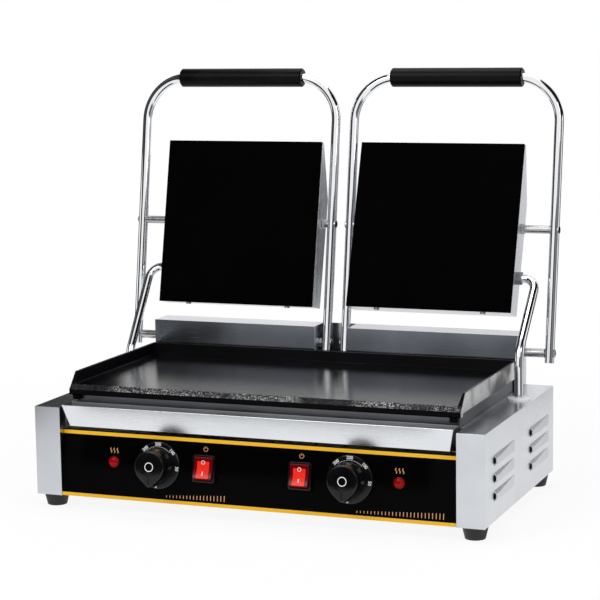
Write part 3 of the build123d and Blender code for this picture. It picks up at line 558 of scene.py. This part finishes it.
steel_dark, steel_light, steel_rough = (0.555, 0.575, 0.61), (0.68, 0.7, 0.735), (0.21, 0.26)
materials = {
    "stainless": brushed("stainless_along_x", steel_dark, steel_light, steel_rough, "x"),
    "stainless_y": brushed("stainless_along_y", steel_dark, steel_light, steel_rough, "y"),
    "stainless_z": brushed("stainless_along_z", steel_dark, steel_light, steel_rough, "z"),
    # Paler copy of the steel for the drip tray: painted sheen for the light it catches.
    "painted_sheen_stainless": brushed(
        "painted_sheen_stainless",
        dark=(0.72, 0.74, 0.775),
        light=(0.84, 0.86, 0.89),
        rough=steel_rough,
        along="x",
    ),
    # Darker copy of the steel: painted shade inside the drip tray and painted dark reflection on the
    # plate fittings.
    "dark_stainless": brushed(
        "dark_stainless",
        dark=(0.17, 0.175, 0.185),
        light=(0.23, 0.235, 0.25),
        rough=(0.28, 0.42),
        along="x",
    ),
    # Darker steel for the hinge housings' fronts: painted dark reflection of the griddle before
    # them.
    "painted_dark_reflection_stainless": brushed(
        "painted_dark_reflection_stainless",
        dark=(0.155, 0.168, 0.195),
        light=(0.245, 0.262, 0.295),
        rough=(0.16, 0.26),
        along="x",
    ),
    # Paler, rougher steel for the louvre hoods: painted light over the dark reflections on their
    # upper slopes.
    "painted_light_hood_stainless": brushed(
        "painted_light_hood_stainless",
        dark=(0.64, 0.655, 0.69),
        light=(0.72, 0.735, 0.77),
        rough=(0.38, 0.48),
        along="y",
    ),
    "chrome_tube": polished("chrome_tube", colour=(0.84, 0.85, 0.87), roughness=0.03),
    "plated_steel": polished("plated_steel", colour=(0.45, 0.45, 0.46), roughness=0.2),
    "bronze": polished("bronze", colour=(0.62, 0.42, 0.2), roughness=0.4),
    "element_sheath": polished("element_sheath", colour=(0.2, 0.17, 0.15), roughness=0.45),
    "cast_iron_black": cast(
        "griddle_iron",
        dark=(0.001, 0.001, 0.0015),
        light=(0.003, 0.003, 0.004),
        roughness=0.3,
        grain_scale=700,
        strength=0.3,
        gloss=0.04,
    ),
    "seasoned_iron": cast(
        "seasoned_iron",
        dark=(0.001, 0.001, 0.002),
        light=(0.003, 0.003, 0.004),
        roughness=0.1,
        grain_scale=600,
        strength=0.35,
        gloss=0.2,
    ),
    "plate_black": cast(
        "plate_coating",
        dark=(0.0004, 0.0004, 0.0005),
        light=(0.0008, 0.0008, 0.001),
        roughness=0.6,
        grain_scale=900,
        strength=0.2,
        gloss=0.01,
    ),
    # Painted glints on the griddle's front chamfer.
    "glinting_iron": glinting_iron(
        "glinting_iron", dark_below=0.5, bright_above=0.68, patches=12, bright=0.75
    ),
    # Painted bright reflections, in larger patches, on the griddle rims' outer flanks.
    "reflecting_iron": glinting_iron(
        "reflecting_iron", dark_below=0.3, bright_above=0.52, patches=22, bright=0.92
    ),
    "panel_black": striped_panel(),
    "grip_black": moulded(
        "grip_black",
        dark=(0.002, 0.002, 0.0025),
        light=(0.004, 0.004, 0.005),
        roughness=0.3,
        gloss=0.08,
    ),
    "black_plastic": moulded(
        "black_plastic",
        dark=(0.0025, 0.0025, 0.003),
        light=(0.005, 0.005, 0.006),
        roughness=0.17,
        gloss=0.3,
    ),
    "red_plastic": moulded(
        "red_plastic",
        dark=(0.24, 0.001, 0.001),
        light=(0.36, 0.002, 0.002),
        roughness=0.12,
        gloss=0.15,
    ),
    "mark_peach": moulded(
        "mark_peach", dark=(0.66, 0.34, 0.15), light=(0.7, 0.37, 0.165), roughness=0.5, gloss=0.2
    ),
    "mark_white": moulded(
        "mark_white", dark=(0.8, 0.8, 0.78), light=(0.86, 0.86, 0.85), roughness=0.45, gloss=0.2
    ),
    # Flat black for the knobs' pointer grooves and the discs over the pins' socket holes: painted
    # shade.
    "shade_black": moulded(
        "shade_black",
        dark=(0.002, 0.002, 0.002),
        light=(0.003, 0.003, 0.003),
        roughness=0.6,
        gloss=0.1,
    ),
    "white_plastic": moulded(
        "white_plastic", dark=(0.9, 0.9, 0.89), light=(0.95, 0.95, 0.94), roughness=0.38
    ),
    "rubber_black": moulded(
        "rubber_black",
        dark=(0.006, 0.006, 0.006),
        light=(0.014, 0.014, 0.014),
        roughness=0.62,
        grain_scale=400,
        strength=0.3,
    ),
    "mineral_wool": matted_wool(),
}
# The drip tray takes a paler steel as painted sheen, the plate fittings a darker one as painted dark
# reflection.
finishes_and_painted_light = {"drip_tray": "painted_sheen_stainless"}
for name in sides:
    finishes_and_painted_light[f"{name}_end_cover"] = "stainless_y"
    finishes_and_painted_light[f"{name}_plate_cover"] = "stainless_z"
    finishes_and_painted_light[f"{name}_plate_fittings"] = "dark_stainless"
# The rockers' red, with a painted glow in the middle and a darker border.
rocker_painted_glow = lit_rocker()


def shown_material_of(node):
    """The material that a CAD node shows."""
    return materials[finishes_and_painted_light.get(node, slot_of[node])]


for node, obj in nodes.items():
    obj.data.materials.clear()
    obj.data.materials.append(shown_material_of(node))


# Edges of the sheet metal, castings and mouldings, rounded in the mesh, with angles in degrees

flat_within = 0.5
edge_angle = 30
smooth_below = 80
edge_widths = {
    "control_panel": 0.5 * mm,
    "drip_tray": 0.4 * mm,
    "front_wall": 0.5 * mm,
    "griddle": 0.9 * mm,
    "griddle_support": 0.5 * mm,
    "top_deck": 0.4 * mm,
    "rear_panel": 0.4 * mm,
    "chassis": 0.4 * mm,
    "switch_housings": 0.6 * mm,
    "feet": 0.8 * mm,
}
for name in sides:
    edge_widths[f"{name}_end_cover"] = 0.55 * mm
    edge_widths[f"{name}_hinge_housing"] = 0.55 * mm
    edge_widths[f"{name}_plate_cover"] = 0.5 * mm
    edge_widths[f"{name}_upper_plate"] = 0.6 * mm
    edge_widths[f"{name}_plate_fittings"] = 0.4 * mm
    edge_widths[f"{name}_pivot_pins"] = 0.35 * mm
    edge_widths[f"{name}_rocker"] = 0.5 * mm
    edge_widths[f"{name}_handle_grip"] = 0.6 * mm


def evaluated(obj):
    """A mesh of an object with its modifiers applied."""
    graph_now = bpy.context.evaluated_depsgraph_get()
    return bpy.data.meshes.new_from_object(obj.evaluated_get(graph_now))


def rounded(node, width):
    """A copy of a CAD node with its hard edges rounded, standing for the node."""
    mesh = nodes[node].data.copy()
    mesh.name = f"{node}_rounded"
    work = bmesh.new()
    work.from_mesh(mesh)
    bmesh.ops.remove_doubles(work, verts=work.verts, dist=same_place)
    bmesh.ops.dissolve_limit(
        work, angle_limit=math.radians(flat_within), verts=work.verts, edges=work.edges
    )
    work.to_mesh(mesh)
    work.free()
    if "custom_normal" in mesh.attributes:
        mesh.attributes.remove(mesh.attributes["custom_normal"])
    obj = new_object(f"{node}_rounded", mesh)
    bevel = obj.modifiers.new("edges", "BEVEL")
    bevel.width = width
    bevel.segments = 2
    bevel.limit_method = "ANGLE"
    bevel.angle_limit = math.radians(edge_angle)
    bevel.use_clamp_overlap = True
    bevel.miter_outer = "MITER_ARC"
    weights = obj.modifiers.new("normals", "WEIGHTED_NORMAL")
    weights.keep_sharp = True
    smooth(mesh, smooth_below)
    done = evaluated(obj)
    obj.modifiers.clear()
    obj.data = done
    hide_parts(node)
    return place(obj, nodes[node]["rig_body"])


pieces = {node: rounded(node, width) for node, width in edge_widths.items()}


# Faces of the rounded pieces that take another material: the cooking face its own finish, the rest
# painted shade, light, glints and reflections

tray_wall_depth = 10 * mm
nose_depth = 8 * mm
mostly = 0.9
partly = 0.4


def repaint(node, material, chosen):
    """Another material on the chosen faces of a rounded piece."""
    mesh = pieces[node].data
    mesh.materials.append(material)
    for face in mesh.polygons:
        if chosen(face.center, face.normal):
            face.material_index = len(mesh.materials) - 1


def is_shaded_tray_inside(centre, normal):
    """The tray's faces behind its front wall, where shade is painted."""
    return centre.y > front_y + tray_wall_depth


def is_front(centre, normal):
    """A face that looks forward."""
    return normal.y < -mostly


def is_griddle_nose(centre, normal):
    """The griddle's front chamfer, where glints are painted."""
    slanted = normal.y < -partly and normal.z > partly
    return slanted and centre.y < griddle_box[0].y + nose_depth


def is_griddle_flank(centre, normal):
    """The outer flanks of the griddle's rims."""
    return abs(normal.x) > mostly and abs(abs(centre.x) - griddle_box[1].x) < mm


def is_cooking_face(centre, normal):
    """The griddle's faces that look up."""
    return normal.z > mostly


def is_louvre(centre, normal):
    """The hoods pressed out of the end covers."""
    return abs(centre.x) > louvre_start


# Painted shade on the tray's inside, under the griddle.
repaint("drip_tray", materials["dark_stainless"], is_shaded_tray_inside)
repaint("griddle", materials["seasoned_iron"], is_cooking_face)
# Painted glints on the griddle's front chamfer.
repaint("griddle", materials["glinting_iron"], is_griddle_nose)
# Painted bright reflections on the griddle rims' outer flanks.
repaint("griddle", materials["reflecting_iron"], is_griddle_flank)
# Below: painted dark reflection on the hinge housings' fronts, painted light on the louvre hoods and
# a painted glow on the rockers.
for name in sides:
    repaint(f"{name}_hinge_housing", materials["painted_dark_reflection_stainless"], is_front)
    repaint(f"{name}_end_cover", materials["painted_light_hood_stainless"], is_louvre)
    pieces[f"{name}_rocker"].data.materials[0] = rocker_painted_glow


# Knobs


def lobed(radius, reach, height, round_steps=48, lobe_steps=16):
    """A ring round a circle and the smaller circle of the pointer lobe below it."""
    centre = reach - lobe_radius
    meet = math.acos((radius - lobe_radius) / centre)
    ring = []
    for i in range(round_steps + 1):
        turn = meet + (2 * math.pi - 2 * meet) * i / round_steps
        ring.append(Vector((radius * math.sin(turn), -radius * math.cos(turn), height)))
    for i in range(lobe_steps + 1):
        turn = -meet + 2 * meet * i / lobe_steps
        x, y = lobe_radius * math.sin(turn), -centre - lobe_radius * math.cos(turn)
        ring.append(Vector((x, y, height)))
    return ring


def knob_grip(matrix):
    """Tapering grip with its lobe, rounded front edge, dish and middle boss."""
    foot = dial_gap + dial_thickness - grip_sink
    front = dial_gap + dial_thickness + knob_depth
    rings = [[Vector((0, 0, foot))], lobed(grip_back_radius, lobe_reach, foot)]
    for i in range(grip_edge_steps + 1):
        turn = math.radians(90 * i / grip_edge_steps)
        shrink = grip_edge * (1 - math.cos(turn))
        drop = grip_edge * (1 - math.sin(turn))
        reach = lobe_reach - lobe_draft - shrink
        rings.append(lobed(grip_front_radius - shrink, reach, front - drop))
    edge = rings[-1]
    for radius, drop in (
        (dish_radius, 0),
        (dish_radius - dish_slope, dish_depth),
        (boss_radius + boss_slope, dish_depth),
        (boss_radius, dish_depth / 2),
    ):
        ring = [Vector((point.x, point.y, 0)).normalized() * radius for point in edge]
        rings.append([Vector((point.x, point.y, front - drop)) for point in ring])
    rings.append([Vector((0, 0, front - dish_depth / 2))])
    return skin([[matrix @ point for point in ring] for ring in rings])


def numeral(text, matrix, height):
    """A plain number as a thin raised mesh."""
    digit_share = 0.7
    strokes_in_height = 30
    curve = bpy.data.curves.new("numeral", "FONT")
    curve.body = text
    curve.size = height / digit_share
    curve.align_x = "CENTER"
    curve.align_y = "CENTER"
    curve.extrude = mark_rise / 2
    curve.offset = height / strokes_in_height
    curve.resolution_u = 4
    source = bpy.data.objects.new("numeral", curve)
    scene.collection.objects.link(source)
    bpy.context.view_layer.update()
    mesh = bpy.data.meshes.new_from_object(source)
    bpy.data.objects.remove(source)
    mesh.transform(matrix @ Matrix.Translation((0, 0, mark_rise / 2)))
    return mesh


def clock(matrix, angle, radius, out):
    """A frame on a dial: its Y points away from the middle, at an angle clockwise from the top."""
    turn = Matrix.Rotation(-math.radians(angle), 4, "Z")
    return matrix @ turn @ Matrix.Translation((0, radius, out))


def knob(name):
    """Skirt, grip and marks of one knob, with painted shade in its pointer groove."""
    matrix = on_panel(sides[name] * knob_x, control_height)
    face = dial_gap + dial_thickness
    skirt = lathe(
        [
            (0, dial_gap),
            (dial_radius - dial_back_edge, dial_gap),
            (dial_radius, dial_gap + dial_back_edge),
            (dial_radius, face - dial_chamfer),
            (dial_radius - dial_shoulder_in, face - dial_chamfer * dial_shoulder_share),
            (dial_radius - dial_chamfer, face),
            (0, face),
        ],
        matrix,
        steps=2 * turned_sides,
    )
    body = joined([skirt, knob_grip(matrix)])
    smooth(body, angle=32)
    whole = new_object(f"{name}_knob_body_shell", body, materials["black_plastic"])
    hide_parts(f"{name}_knob")
    place(whole, f"{name}_knob_body")
    marks = [
        numeral(text, clock(matrix, angle, numeral_radius, face), numeral_height)
        for text, angle in dial_numbers.items()
    ]
    profile = [(0, 0), (dot_size, 0), (dot_size, mark_rise), (0, mark_rise)]
    for i in range(dot_count):
        dot = clock(matrix, dot_start + dot_pitch * i, dot_radius, face)
        marks.append(lathe(profile, dot, steps=small_sides))
    boss_face = face + knob_depth - dish_depth / 2
    marks.append(flat_ring(boss_ring_inner, boss_ring_outer, boss_face, matrix))
    pale = new_object(f"{name}_knob_marks", joined(marks), materials["mark_white"])
    place(pale, f"{name}_knob_body")
    # The pointer groove is a thin black strip: painted shade in the groove.
    grip_face = matrix @ Matrix.Translation((0, 0, face + knob_depth))
    groove = stroke(upright(-groove_near, -groove_far), groove_width, grip_face)
    line = new_object(f"{name}_knob_line", groove, materials["shade_black"])
    place(line, f"{name}_knob_body")


for name in sides:
    knob(name)


# Lamps, rocker marks and panel marks


def lamp_set():
    """Domed lenses in their collars, with the bodies behind the panel."""
    lens_radius = lamp_radius - collar_width
    profile = [
        (0, -lamp_body_depth),
        (lamp_body_radius, -lamp_body_depth),
        (lamp_body_radius, 0),
        (lamp_radius, 0),
        (lamp_radius, collar_height - collar_edge),
        (lamp_radius - collar_edge, collar_height),
        (lens_radius, collar_height),
    ]
    for i in range(1, lens_steps):
        turn = math.radians(90 * i / lens_steps)
        rise = (lens_height - collar_height) * math.sin(turn)
        profile.append((lens_radius * math.cos(turn), collar_height + rise))
    profile.append((0, lens_height))
    lenses = [lathe(profile, on_panel(side * lamp_x, control_height)) for side in sides.values()]
    mesh = joined(lenses)
    smooth(mesh, angle=35)
    lamps = new_object("pilot_lamp_lenses", mesh, materials["red_plastic"])
    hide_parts("pilot_lamps")
    place(lamps, "body")


def rocker_marks(name):
    """The ring and the bar on the two faces of a rocker."""
    joint = joints[f"{name}_rocker_rock"]
    turned = Matrix.Rotation(-math.radians(rocker_throw / 2), 4, "X")
    pivot = Matrix.Translation(Vector(joint["pos_m"])) @ panel_axes() @ turned
    slope = math.atan2(rocker_dip, rocker_half_height)

    def on_rocker(height):
        """A frame on the rocker's face, this far up from its axis."""
        dip = rocker_dip * (1 - abs(height) / rocker_half_height)
        depth = rocker_front - rocker_axis_depth - dip + rocker_mark_lift
        tilt = Matrix.Rotation(math.copysign(slope, height), 4, "X")
        return pivot @ Matrix.Translation((0, height, depth)) @ tilt

    ring_seat = on_rocker(rocker_ring_height)
    ring = flat_ring(rocker_ring_inner, rocker_ring_outer, 0, ring_seat, steps=32)
    path = upright(-rocker_bar_half, rocker_bar_half)
    bar = stroke(path, rocker_bar_width, on_rocker(rocker_bar_height))
    obj = new_object(f"{name}_rocker_marks", joined([ring, bar]), materials["mark_white"])
    place(obj, nodes[f"{name}_rocker"]["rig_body"])


def heat_wave(column):
    """One wavy stroke of the heat mark, in its column."""
    wave = []
    for i in range(heat_wave_steps + 1):
        swing = heat_wave_swing * math.sin(2 * math.pi * i / heat_wave_steps)
        x = column * heat_wave_gap + swing
        wave.append((x, (i - heat_wave_steps / 2) * heat_wave_step))
    return wave


def panel_marks():
    """Heat strokes over the lamps, a ring and bar over the switches, and a ramp by each knob."""
    marks = []
    for side in sides.values():
        heat = on_panel(side * lamp_x, heat_mark_up)
        for column in (-1, 0, 1):
            marks.append(stroke(heat_wave(column), mark_width, heat))
        power = on_panel(side * switch_x, power_mark_up)
        ring = arc(power_ring_radius, power_ring_start, power_ring_end)
        marks.append(stroke(ring, power_mark_width, power))
        marks.append(stroke(upright(power_bar_foot, power_bar_top), power_mark_width, power))
    for start, end in (left_ramp, right_ramp):
        count = round((end - start) / ramp_pitch)
        for i in range(count + 1):
            tall = ramp_rise * (ramp_lowest_share + (1 - ramp_lowest_share) * i / count)
            bar = on_panel(start + (end - start) * i / count, ramp_up)
            marks.append(stroke(upright(0, tall), mark_width, bar))
    obj = new_object("panel_marks", joined(marks), materials["mark_peach"])
    place(obj, "body")


lamp_set()
panel_marks()
for name in sides:
    rocker_marks(name)


# Discs in the legs, painted shade of the pins' socket holes


def socket_shade_discs(name):
    """Black discs over the pivot pins' heads, flush in the legs: painted shade where the socket
    holes are.
    """
    low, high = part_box(f"{name}_pivot_pins")
    centre = (low + high) / 2
    profile = [
        (0, cap_gap),
        (cap_radius, cap_gap),
        (cap_edge_radius, cap_edge_rise),
        (cap_crown_radius, cap_crown_rise),
        (cap_dimple_radius, cap_dimple_rise),
        (0, cap_dimple_rise),
    ]
    caps = []
    for x, way in ((low.x, -1), (high.x, 1)):
        turn = Vector((way, 0, 0)).to_track_quat("Z", "Y").to_matrix().to_4x4()
        caps.append(lathe(profile, Matrix.Translation((x, centre.y, centre.z)) @ turn, steps=36))
    mesh = joined(caps)
    smooth(mesh, angle=40)
    obj = new_object(f"{name}_socket_shade_discs", mesh, materials["shade_black"])
    place(obj, f"{name}_pins_body")


for name in sides:
    socket_shade_discs(name)


# Wiring tubes


def bent_path(corners, radii, steps=14):
    """Points along straight runs that meet in smooth bends."""
    path = [corners[0]]
    for i, radius in enumerate(radii, 1):
        before, corner, after = corners[i - 1], corners[i], corners[i + 1]
        back, on = (before - corner).normalized(), (after - corner).normalized()
        reach = radius / math.tan(back.angle(on) / 2)
        start, end = corner + back * reach, corner + on * reach
        count = max(2, int((start - path[-1]).length / tube_ring_gap))
        path += [path[-1].lerp(start, n / count) for n in range(1, count)]
        pull = math.sin(back.angle(on) / 2)
        for n in range(steps + 1):
            t = n / steps
            near, middle, far = (1 - t) ** 2, 2 * pull * t * (1 - t), t**2
            path.append((start * near + corner * middle + end * far) / (near + middle + far))
    count = max(2, int((corners[-1] - path[-1]).length / tube_ring_gap))
    last = path[-1]
    path += [last.lerp(corners[-1], n / count) for n in range(1, count + 1)]
    return path


def tube(path, radius, steps=40):
    """A round tube along a path, capped at both ends."""
    rings = []
    across = Vector((1, 0, 0))
    for i, point in enumerate(path):
        along = (path[min(i + 1, len(path) - 1)] - path[max(i - 1, 0)]).normalized()
        across = (across - along * across.dot(along)).normalized()
        other = along.cross(across)
        turns = [2 * math.pi * n / steps for n in range(steps)]
        rings.append([point + (across * math.cos(t) + other * math.sin(t)) * radius for t in turns])
    return skin([[path[0]], *rings, [path[-1]]])


def conduit(name):
    """The wiring tube in three lengths, each lying between two bodies that one joint joins, built in
    place and put on no body.
    """
    side = sides[name]
    low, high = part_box(f"{name}_conduit")
    x = side * (max(abs(low.x), abs(high.x)) - tube_radius)
    end_x = side * min(abs(low.x), abs(high.x))
    base_y, top_y, top_z = low.y + tube_radius, high.y - tube_radius, high.z - tube_radius
    foot = Vector((x, base_y, low.z))
    knee = Vector((x, base_y, knee_height[name]))
    top = Vector((x, top_y, top_z))
    path = bent_path([foot, knee, top, Vector((end_x, top_y, top_z))], [knee_radius, top_radius])
    lid, pins, plate = f"{name}_lid_body", f"{name}_pins_body", f"{name}_plate_body"
    slope = [i for i, point in enumerate(path) if point.z > knee.z]
    first = slope[int(len(slope) * lid_length_share)]
    second = slope[int(len(slope) * pins_length_share)]
    spans = (
        ("lower", path[: first + 1], "body", lid),
        ("middle", path[first : second + 1], lid, pins),
        ("upper", path[second:], pins, plate),
    )
    for part, points, start_body, end_body in spans:
        mesh = tube(points, tube_radius)
        smooth(mesh, angle=50)
        obj = new_object(f"{name}_conduit_{part}", mesh, materials["chrome_tube"])
        if part == "lower":
            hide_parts(f"{name}_conduit")
        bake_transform(obj)


for name in sides:
    conduit(name)


# Screw heads


def cross_arm(matrix, turn, radius, height):
    """One bar of the cross recess in a screw head."""
    spin = matrix @ Matrix.Rotation(math.radians(turn), 4, "Z")
    wide, long = radius * cross_half_width, radius * cross_reach
    outline = ((-long, -wide), (long, -wide), (long, wide), (-long, wide))
    floor_z, top_z = height * cross_floor, height * cross_top
    rings = [[spin @ Vector((x, y, z)) for x, y in outline] for z in (floor_z, top_z)]
    return skin([[spin @ Vector((0, 0, floor_z))], *rings, [spin @ Vector((0, 0, top_z))]])


def screw_mesh(matrix, radius, height, shank, length):
    """A domed head with a cross recess, and its shank behind."""
    profile = [(0, -length), (shank, -length), (shank, 0), (radius, 0), (radius, height * dome_foot)]
    for angle in dome_angles:
        turn = math.radians(angle)
        rise = height * (dome_foot + (1 - dome_foot) * math.sin(turn))
        profile.append((radius * math.cos(turn), rise))
    profile.append((0, height))
    head = new_object("screw", lathe(profile, matrix, steps=28))
    for turn in (0, 90):
        cutter = new_object("arm", cross_arm(matrix, turn, radius, height))
        cut = head.modifiers.new("cross", "BOOLEAN")
        cut.operation = "DIFFERENCE"
        cut.object = cutter
        cut.solver = "EXACT"
        done = evaluated(head)
        head.modifiers.clear()
        head.data = done
        bpy.data.objects.remove(cutter)
    mesh = head.data
    bpy.data.objects.remove(head)
    return mesh


def islands(node):
    """The separate solids of a node: the lowest and highest corner of each."""
    work = bmesh.new()
    work.from_mesh(nodes[node].data)
    bmesh.ops.remove_doubles(work, verts=work.verts, dist=same_place)
    left = set(work.verts)
    found = []
    while left:
        queue, group = [left.pop()], []
        while queue:
            vert = queue.pop()
            group.append(vert.co.copy())
            for edge in vert.link_edges:
                other = edge.other_vert(vert)
                if other in left:
                    left.discard(other)
                    queue.append(other)
        low = Vector([min(co[k] for co in group) for k in range(3)])
        high = Vector([max(co[k] for co in group) for k in range(3)])
        found.append((low, high))
    work.free()
    return found


def screws(node, way, radius, height, shank):
    """Domed heads and shanks in place of a node's plain screws, each facing the way asked."""
    meshes = []
    for low, high in islands(node):
        centre = (low + high) / 2
        facing = way(centre).normalized()
        reach = abs((high - low).dot(facing)) / 2
        seat = Matrix.Translation(centre + facing * (reach - height))
        turn = facing.to_track_quat("Z", "Y").to_matrix().to_4x4()
        meshes.append(screw_mesh(seat @ turn, radius, height, shank, 2 * reach - height))
    mesh = joined(meshes)
    smooth(mesh, angle=40)
    obj = new_object(f"{node}_heads", mesh, shown_material_of(node))
    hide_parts(node)
    place(obj, nodes[node]["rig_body"])


screws(
    "rear_panel_screws",
    way=lambda centre: Vector((0, 1, 0)),
    radius=3.6 * mm,
    height=1.8 * mm,
    shank=1.9 * mm,
)
for name in sides:
    middle = sum(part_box(f"{name}_hinge_shaft"), Vector()) / 2
    screws(
        f"{name}_axle_screws",
        way=lambda centre, middle=middle: Vector((centre.x - middle.x, 0, 0)),
        radius=5.2 * mm,
        height=1.6 * mm,
        shank=3.0 * mm,
    )


# Floor, light and camera, in metres


def seen_directly(tree):
    """One for what the camera sees, straight or mirrored, and nothing for light on the object."""
    path = tree.nodes.new("ShaderNodeLightPath")
    seen = path.outputs["Is Camera Ray"]
    for kind in ("Is Glossy Ray", "Is Transmission Ray"):
        seen = calculate(tree, "MAXIMUM", seen, path.outputs[kind])
    return seen


def rectangle(name, corners, material):
    """A single flat face that belongs to the surroundings."""
    mesh = bpy.data.meshes.new(name)
    mesh.from_pydata(corners, [], [(0, 1, 2, 3)])
    obj = new_object(name, mesh, material)
    return obj


def floor():
    """Plain pale floor that keeps a soft shadow."""
    material, tree, shader = graph("floor", (0.92, 0.92, 0.92), metallic=0.0, roughness=0.9)
    shader.inputs["Specular IOR Level"].default_value = 0.0
    glow = tree.nodes.new("ShaderNodeEmission")
    glow.inputs["Color"].default_value = (1, 1, 1, 1)
    mix = tree.nodes.new("ShaderNodeMixShader")
    reach = tree.nodes.new("ShaderNodeVectorMath")
    reach.operation = "LENGTH"
    tree.links.new(coordinates(tree), reach.inputs[0])
    fade = spread(tree, reach.outputs["Value"], low=0.88, high=1.0, start=0.45, end=1.1)
    share = calculate(tree, "MULTIPLY", seen_directly(tree), fade)
    tree.links.new(share, mix.inputs["Fac"])
    tree.links.new(shader.outputs[0], mix.inputs[1])
    tree.links.new(glow.outputs[0], mix.inputs[2])
    tree.links.new(mix.outputs[0], tree.nodes["Material Output"].inputs["Surface"])
    far = 12
    rectangle("floor", [(-far, -far, 0), (far, -far, 0), (far, far, 0), (-far, far, 0)], material)


def world():
    """White surroundings for the camera and for reflections, softer light for the rest."""
    surroundings = bpy.data.worlds.new("studio")
    scene.world = surroundings
    surroundings.use_nodes = True
    tree = surroundings.node_tree
    tree.nodes.clear()
    strength = spread(tree, seen_directly(tree), low=0.5, high=1.0, start=0, end=1)
    background = tree.nodes.new("ShaderNodeBackground")
    background.inputs["Color"].default_value = (1, 1, 1, 1)
    output = tree.nodes.new("ShaderNodeOutputWorld")
    tree.links.new(strength, background.inputs["Strength"])
    tree.links.new(background.outputs[0], output.inputs["Surface"])


def softbox(name, location, aim, size, power):
    """A large soft lamp."""
    data = bpy.data.lights.new(name, "AREA")
    data.shape = "RECTANGLE"
    data.size, data.size_y = size
    data.energy = power
    lamp = bpy.data.objects.new(name, data)
    scene.collection.objects.link(lamp)
    lamp.location = location
    lamp.rotation_euler = (Vector(aim) - Vector(location)).to_track_quat("-Z", "Y").to_euler()


def card(name, corners, shade):
    """A grey card outside the view, which only bright metal and gloss show."""
    blue_excess = 1.03
    material, tree, shader = graph(name, (shade, shade, shade), metallic=0.0, roughness=1.0)
    glow = tree.nodes.new("ShaderNodeEmission")
    glow.inputs["Color"].default_value = (shade, shade, shade * blue_excess, 1)
    tree.links.new(glow.outputs[0], tree.nodes["Material Output"].inputs["Surface"])
    obj = rectangle(name, corners, material)
    obj.visible_camera = False
    obj.visible_diffuse = False
    obj.visible_shadow = False


def standing_card(name, bearing, arc_width, shade, low=0.002, high=0.55, distance=0.8):
    """An upright card at a bearing, in degrees, from the camera's side."""
    turn = math.radians(camera_azimuth + bearing)
    centre = Vector((math.sin(turn), -math.cos(turn), 0)) * distance
    half = distance * math.tan(math.radians(arc_width / 2))
    across = Vector((math.cos(turn), math.sin(turn), 0)) * half
    corners = (centre - across, centre + across, centre + across, centre - across)
    card(name, [(c.x, c.y, z) for c, z in zip(corners, (low, low, high, high))], shade)


def front_card():
    """A low dark card in front of the control panel."""
    left, right, y, low, high = -0.26, 0.19, -0.235, 0.055, 0.092
    corners = [(left, y, low), (right, y, low), (right, y, high), (left, y, high)]
    card("card_front", corners, shade=0.004)


def overhead_card(name, side):
    """A dark card above and beside the object."""
    near, far = side * 0.5, side * 1.35
    front, back, z = -1.0, 0.6, 1.5
    corners = [(near, front, z), (far, front, z), (far, back, z), (near, back, z)]
    card(f"card_over_{name}", corners, shade=0.01)


def camera():
    """The photograph's view."""
    azimuth, elevation = math.radians(camera_azimuth), math.radians(camera_elevation)
    away = Vector(
        (
            math.sin(azimuth) * math.cos(elevation),
            -math.cos(azimuth) * math.cos(elevation),
            math.sin(elevation),
        )
    )
    data = bpy.data.cameras.new("camera")
    data.lens = camera_lens
    data.sensor_width = sensor_width
    data.clip_end = 50
    eye = bpy.data.objects.new("camera", data)
    scene.collection.objects.link(eye)
    turn = (-away).to_track_quat("-Z", "Y").to_matrix().to_4x4()
    roll = Matrix.Rotation(math.radians(camera_roll), 4, "Z")
    eye.matrix_world = Matrix.Translation(camera_target + away * camera_distance) @ turn @ roll
    scene.camera = eye


floor()
world()
softbox("key", location=(-1.6, -2.4, 2.6), aim=(0, 0, 0.2), size=(1.8, 1.8), power=42)
softbox("fill", location=(2.6, -1.2, 1.6), aim=(0, 0, 0.2), size=(1.4, 1.8), power=22)
softbox("top", location=(0, 0.4, 3.0), aim=(0, 0, 0), size=(2.4, 1.6), power=30)
standing_card("card_line", bearing=20, arc_width=26, shade=0.005, high=0.6, distance=1.3)
standing_card("card_right", bearing=58, arc_width=50, shade=0.2)
standing_card("card_left", bearing=-76, arc_width=34, shade=0.03, high=1.3)
standing_card("card_right_back", bearing=112, arc_width=24, shade=0.05)
standing_card("card_back", bearing=143, arc_width=14, shade=0.06, low=0.1, high=0.36)
standing_card("card_back_low", bearing=166, arc_width=24, shade=0.08, low=0.14, high=0.265)
standing_card("card_left_back", bearing=-140, arc_width=40, shade=0.03, low=0.1, high=0.9)
standing_card("card_left_high", bearing=-122, arc_width=64, shade=0.07, low=0.45, high=1.3)
standing_card("card_right_high", bearing=79, arc_width=64, shade=0.01, low=0.56, high=1.8)
front_card()
for name, side in sides.items():
    overhead_card(name, side)
camera()
scene.view_settings.view_transform = "Standard"
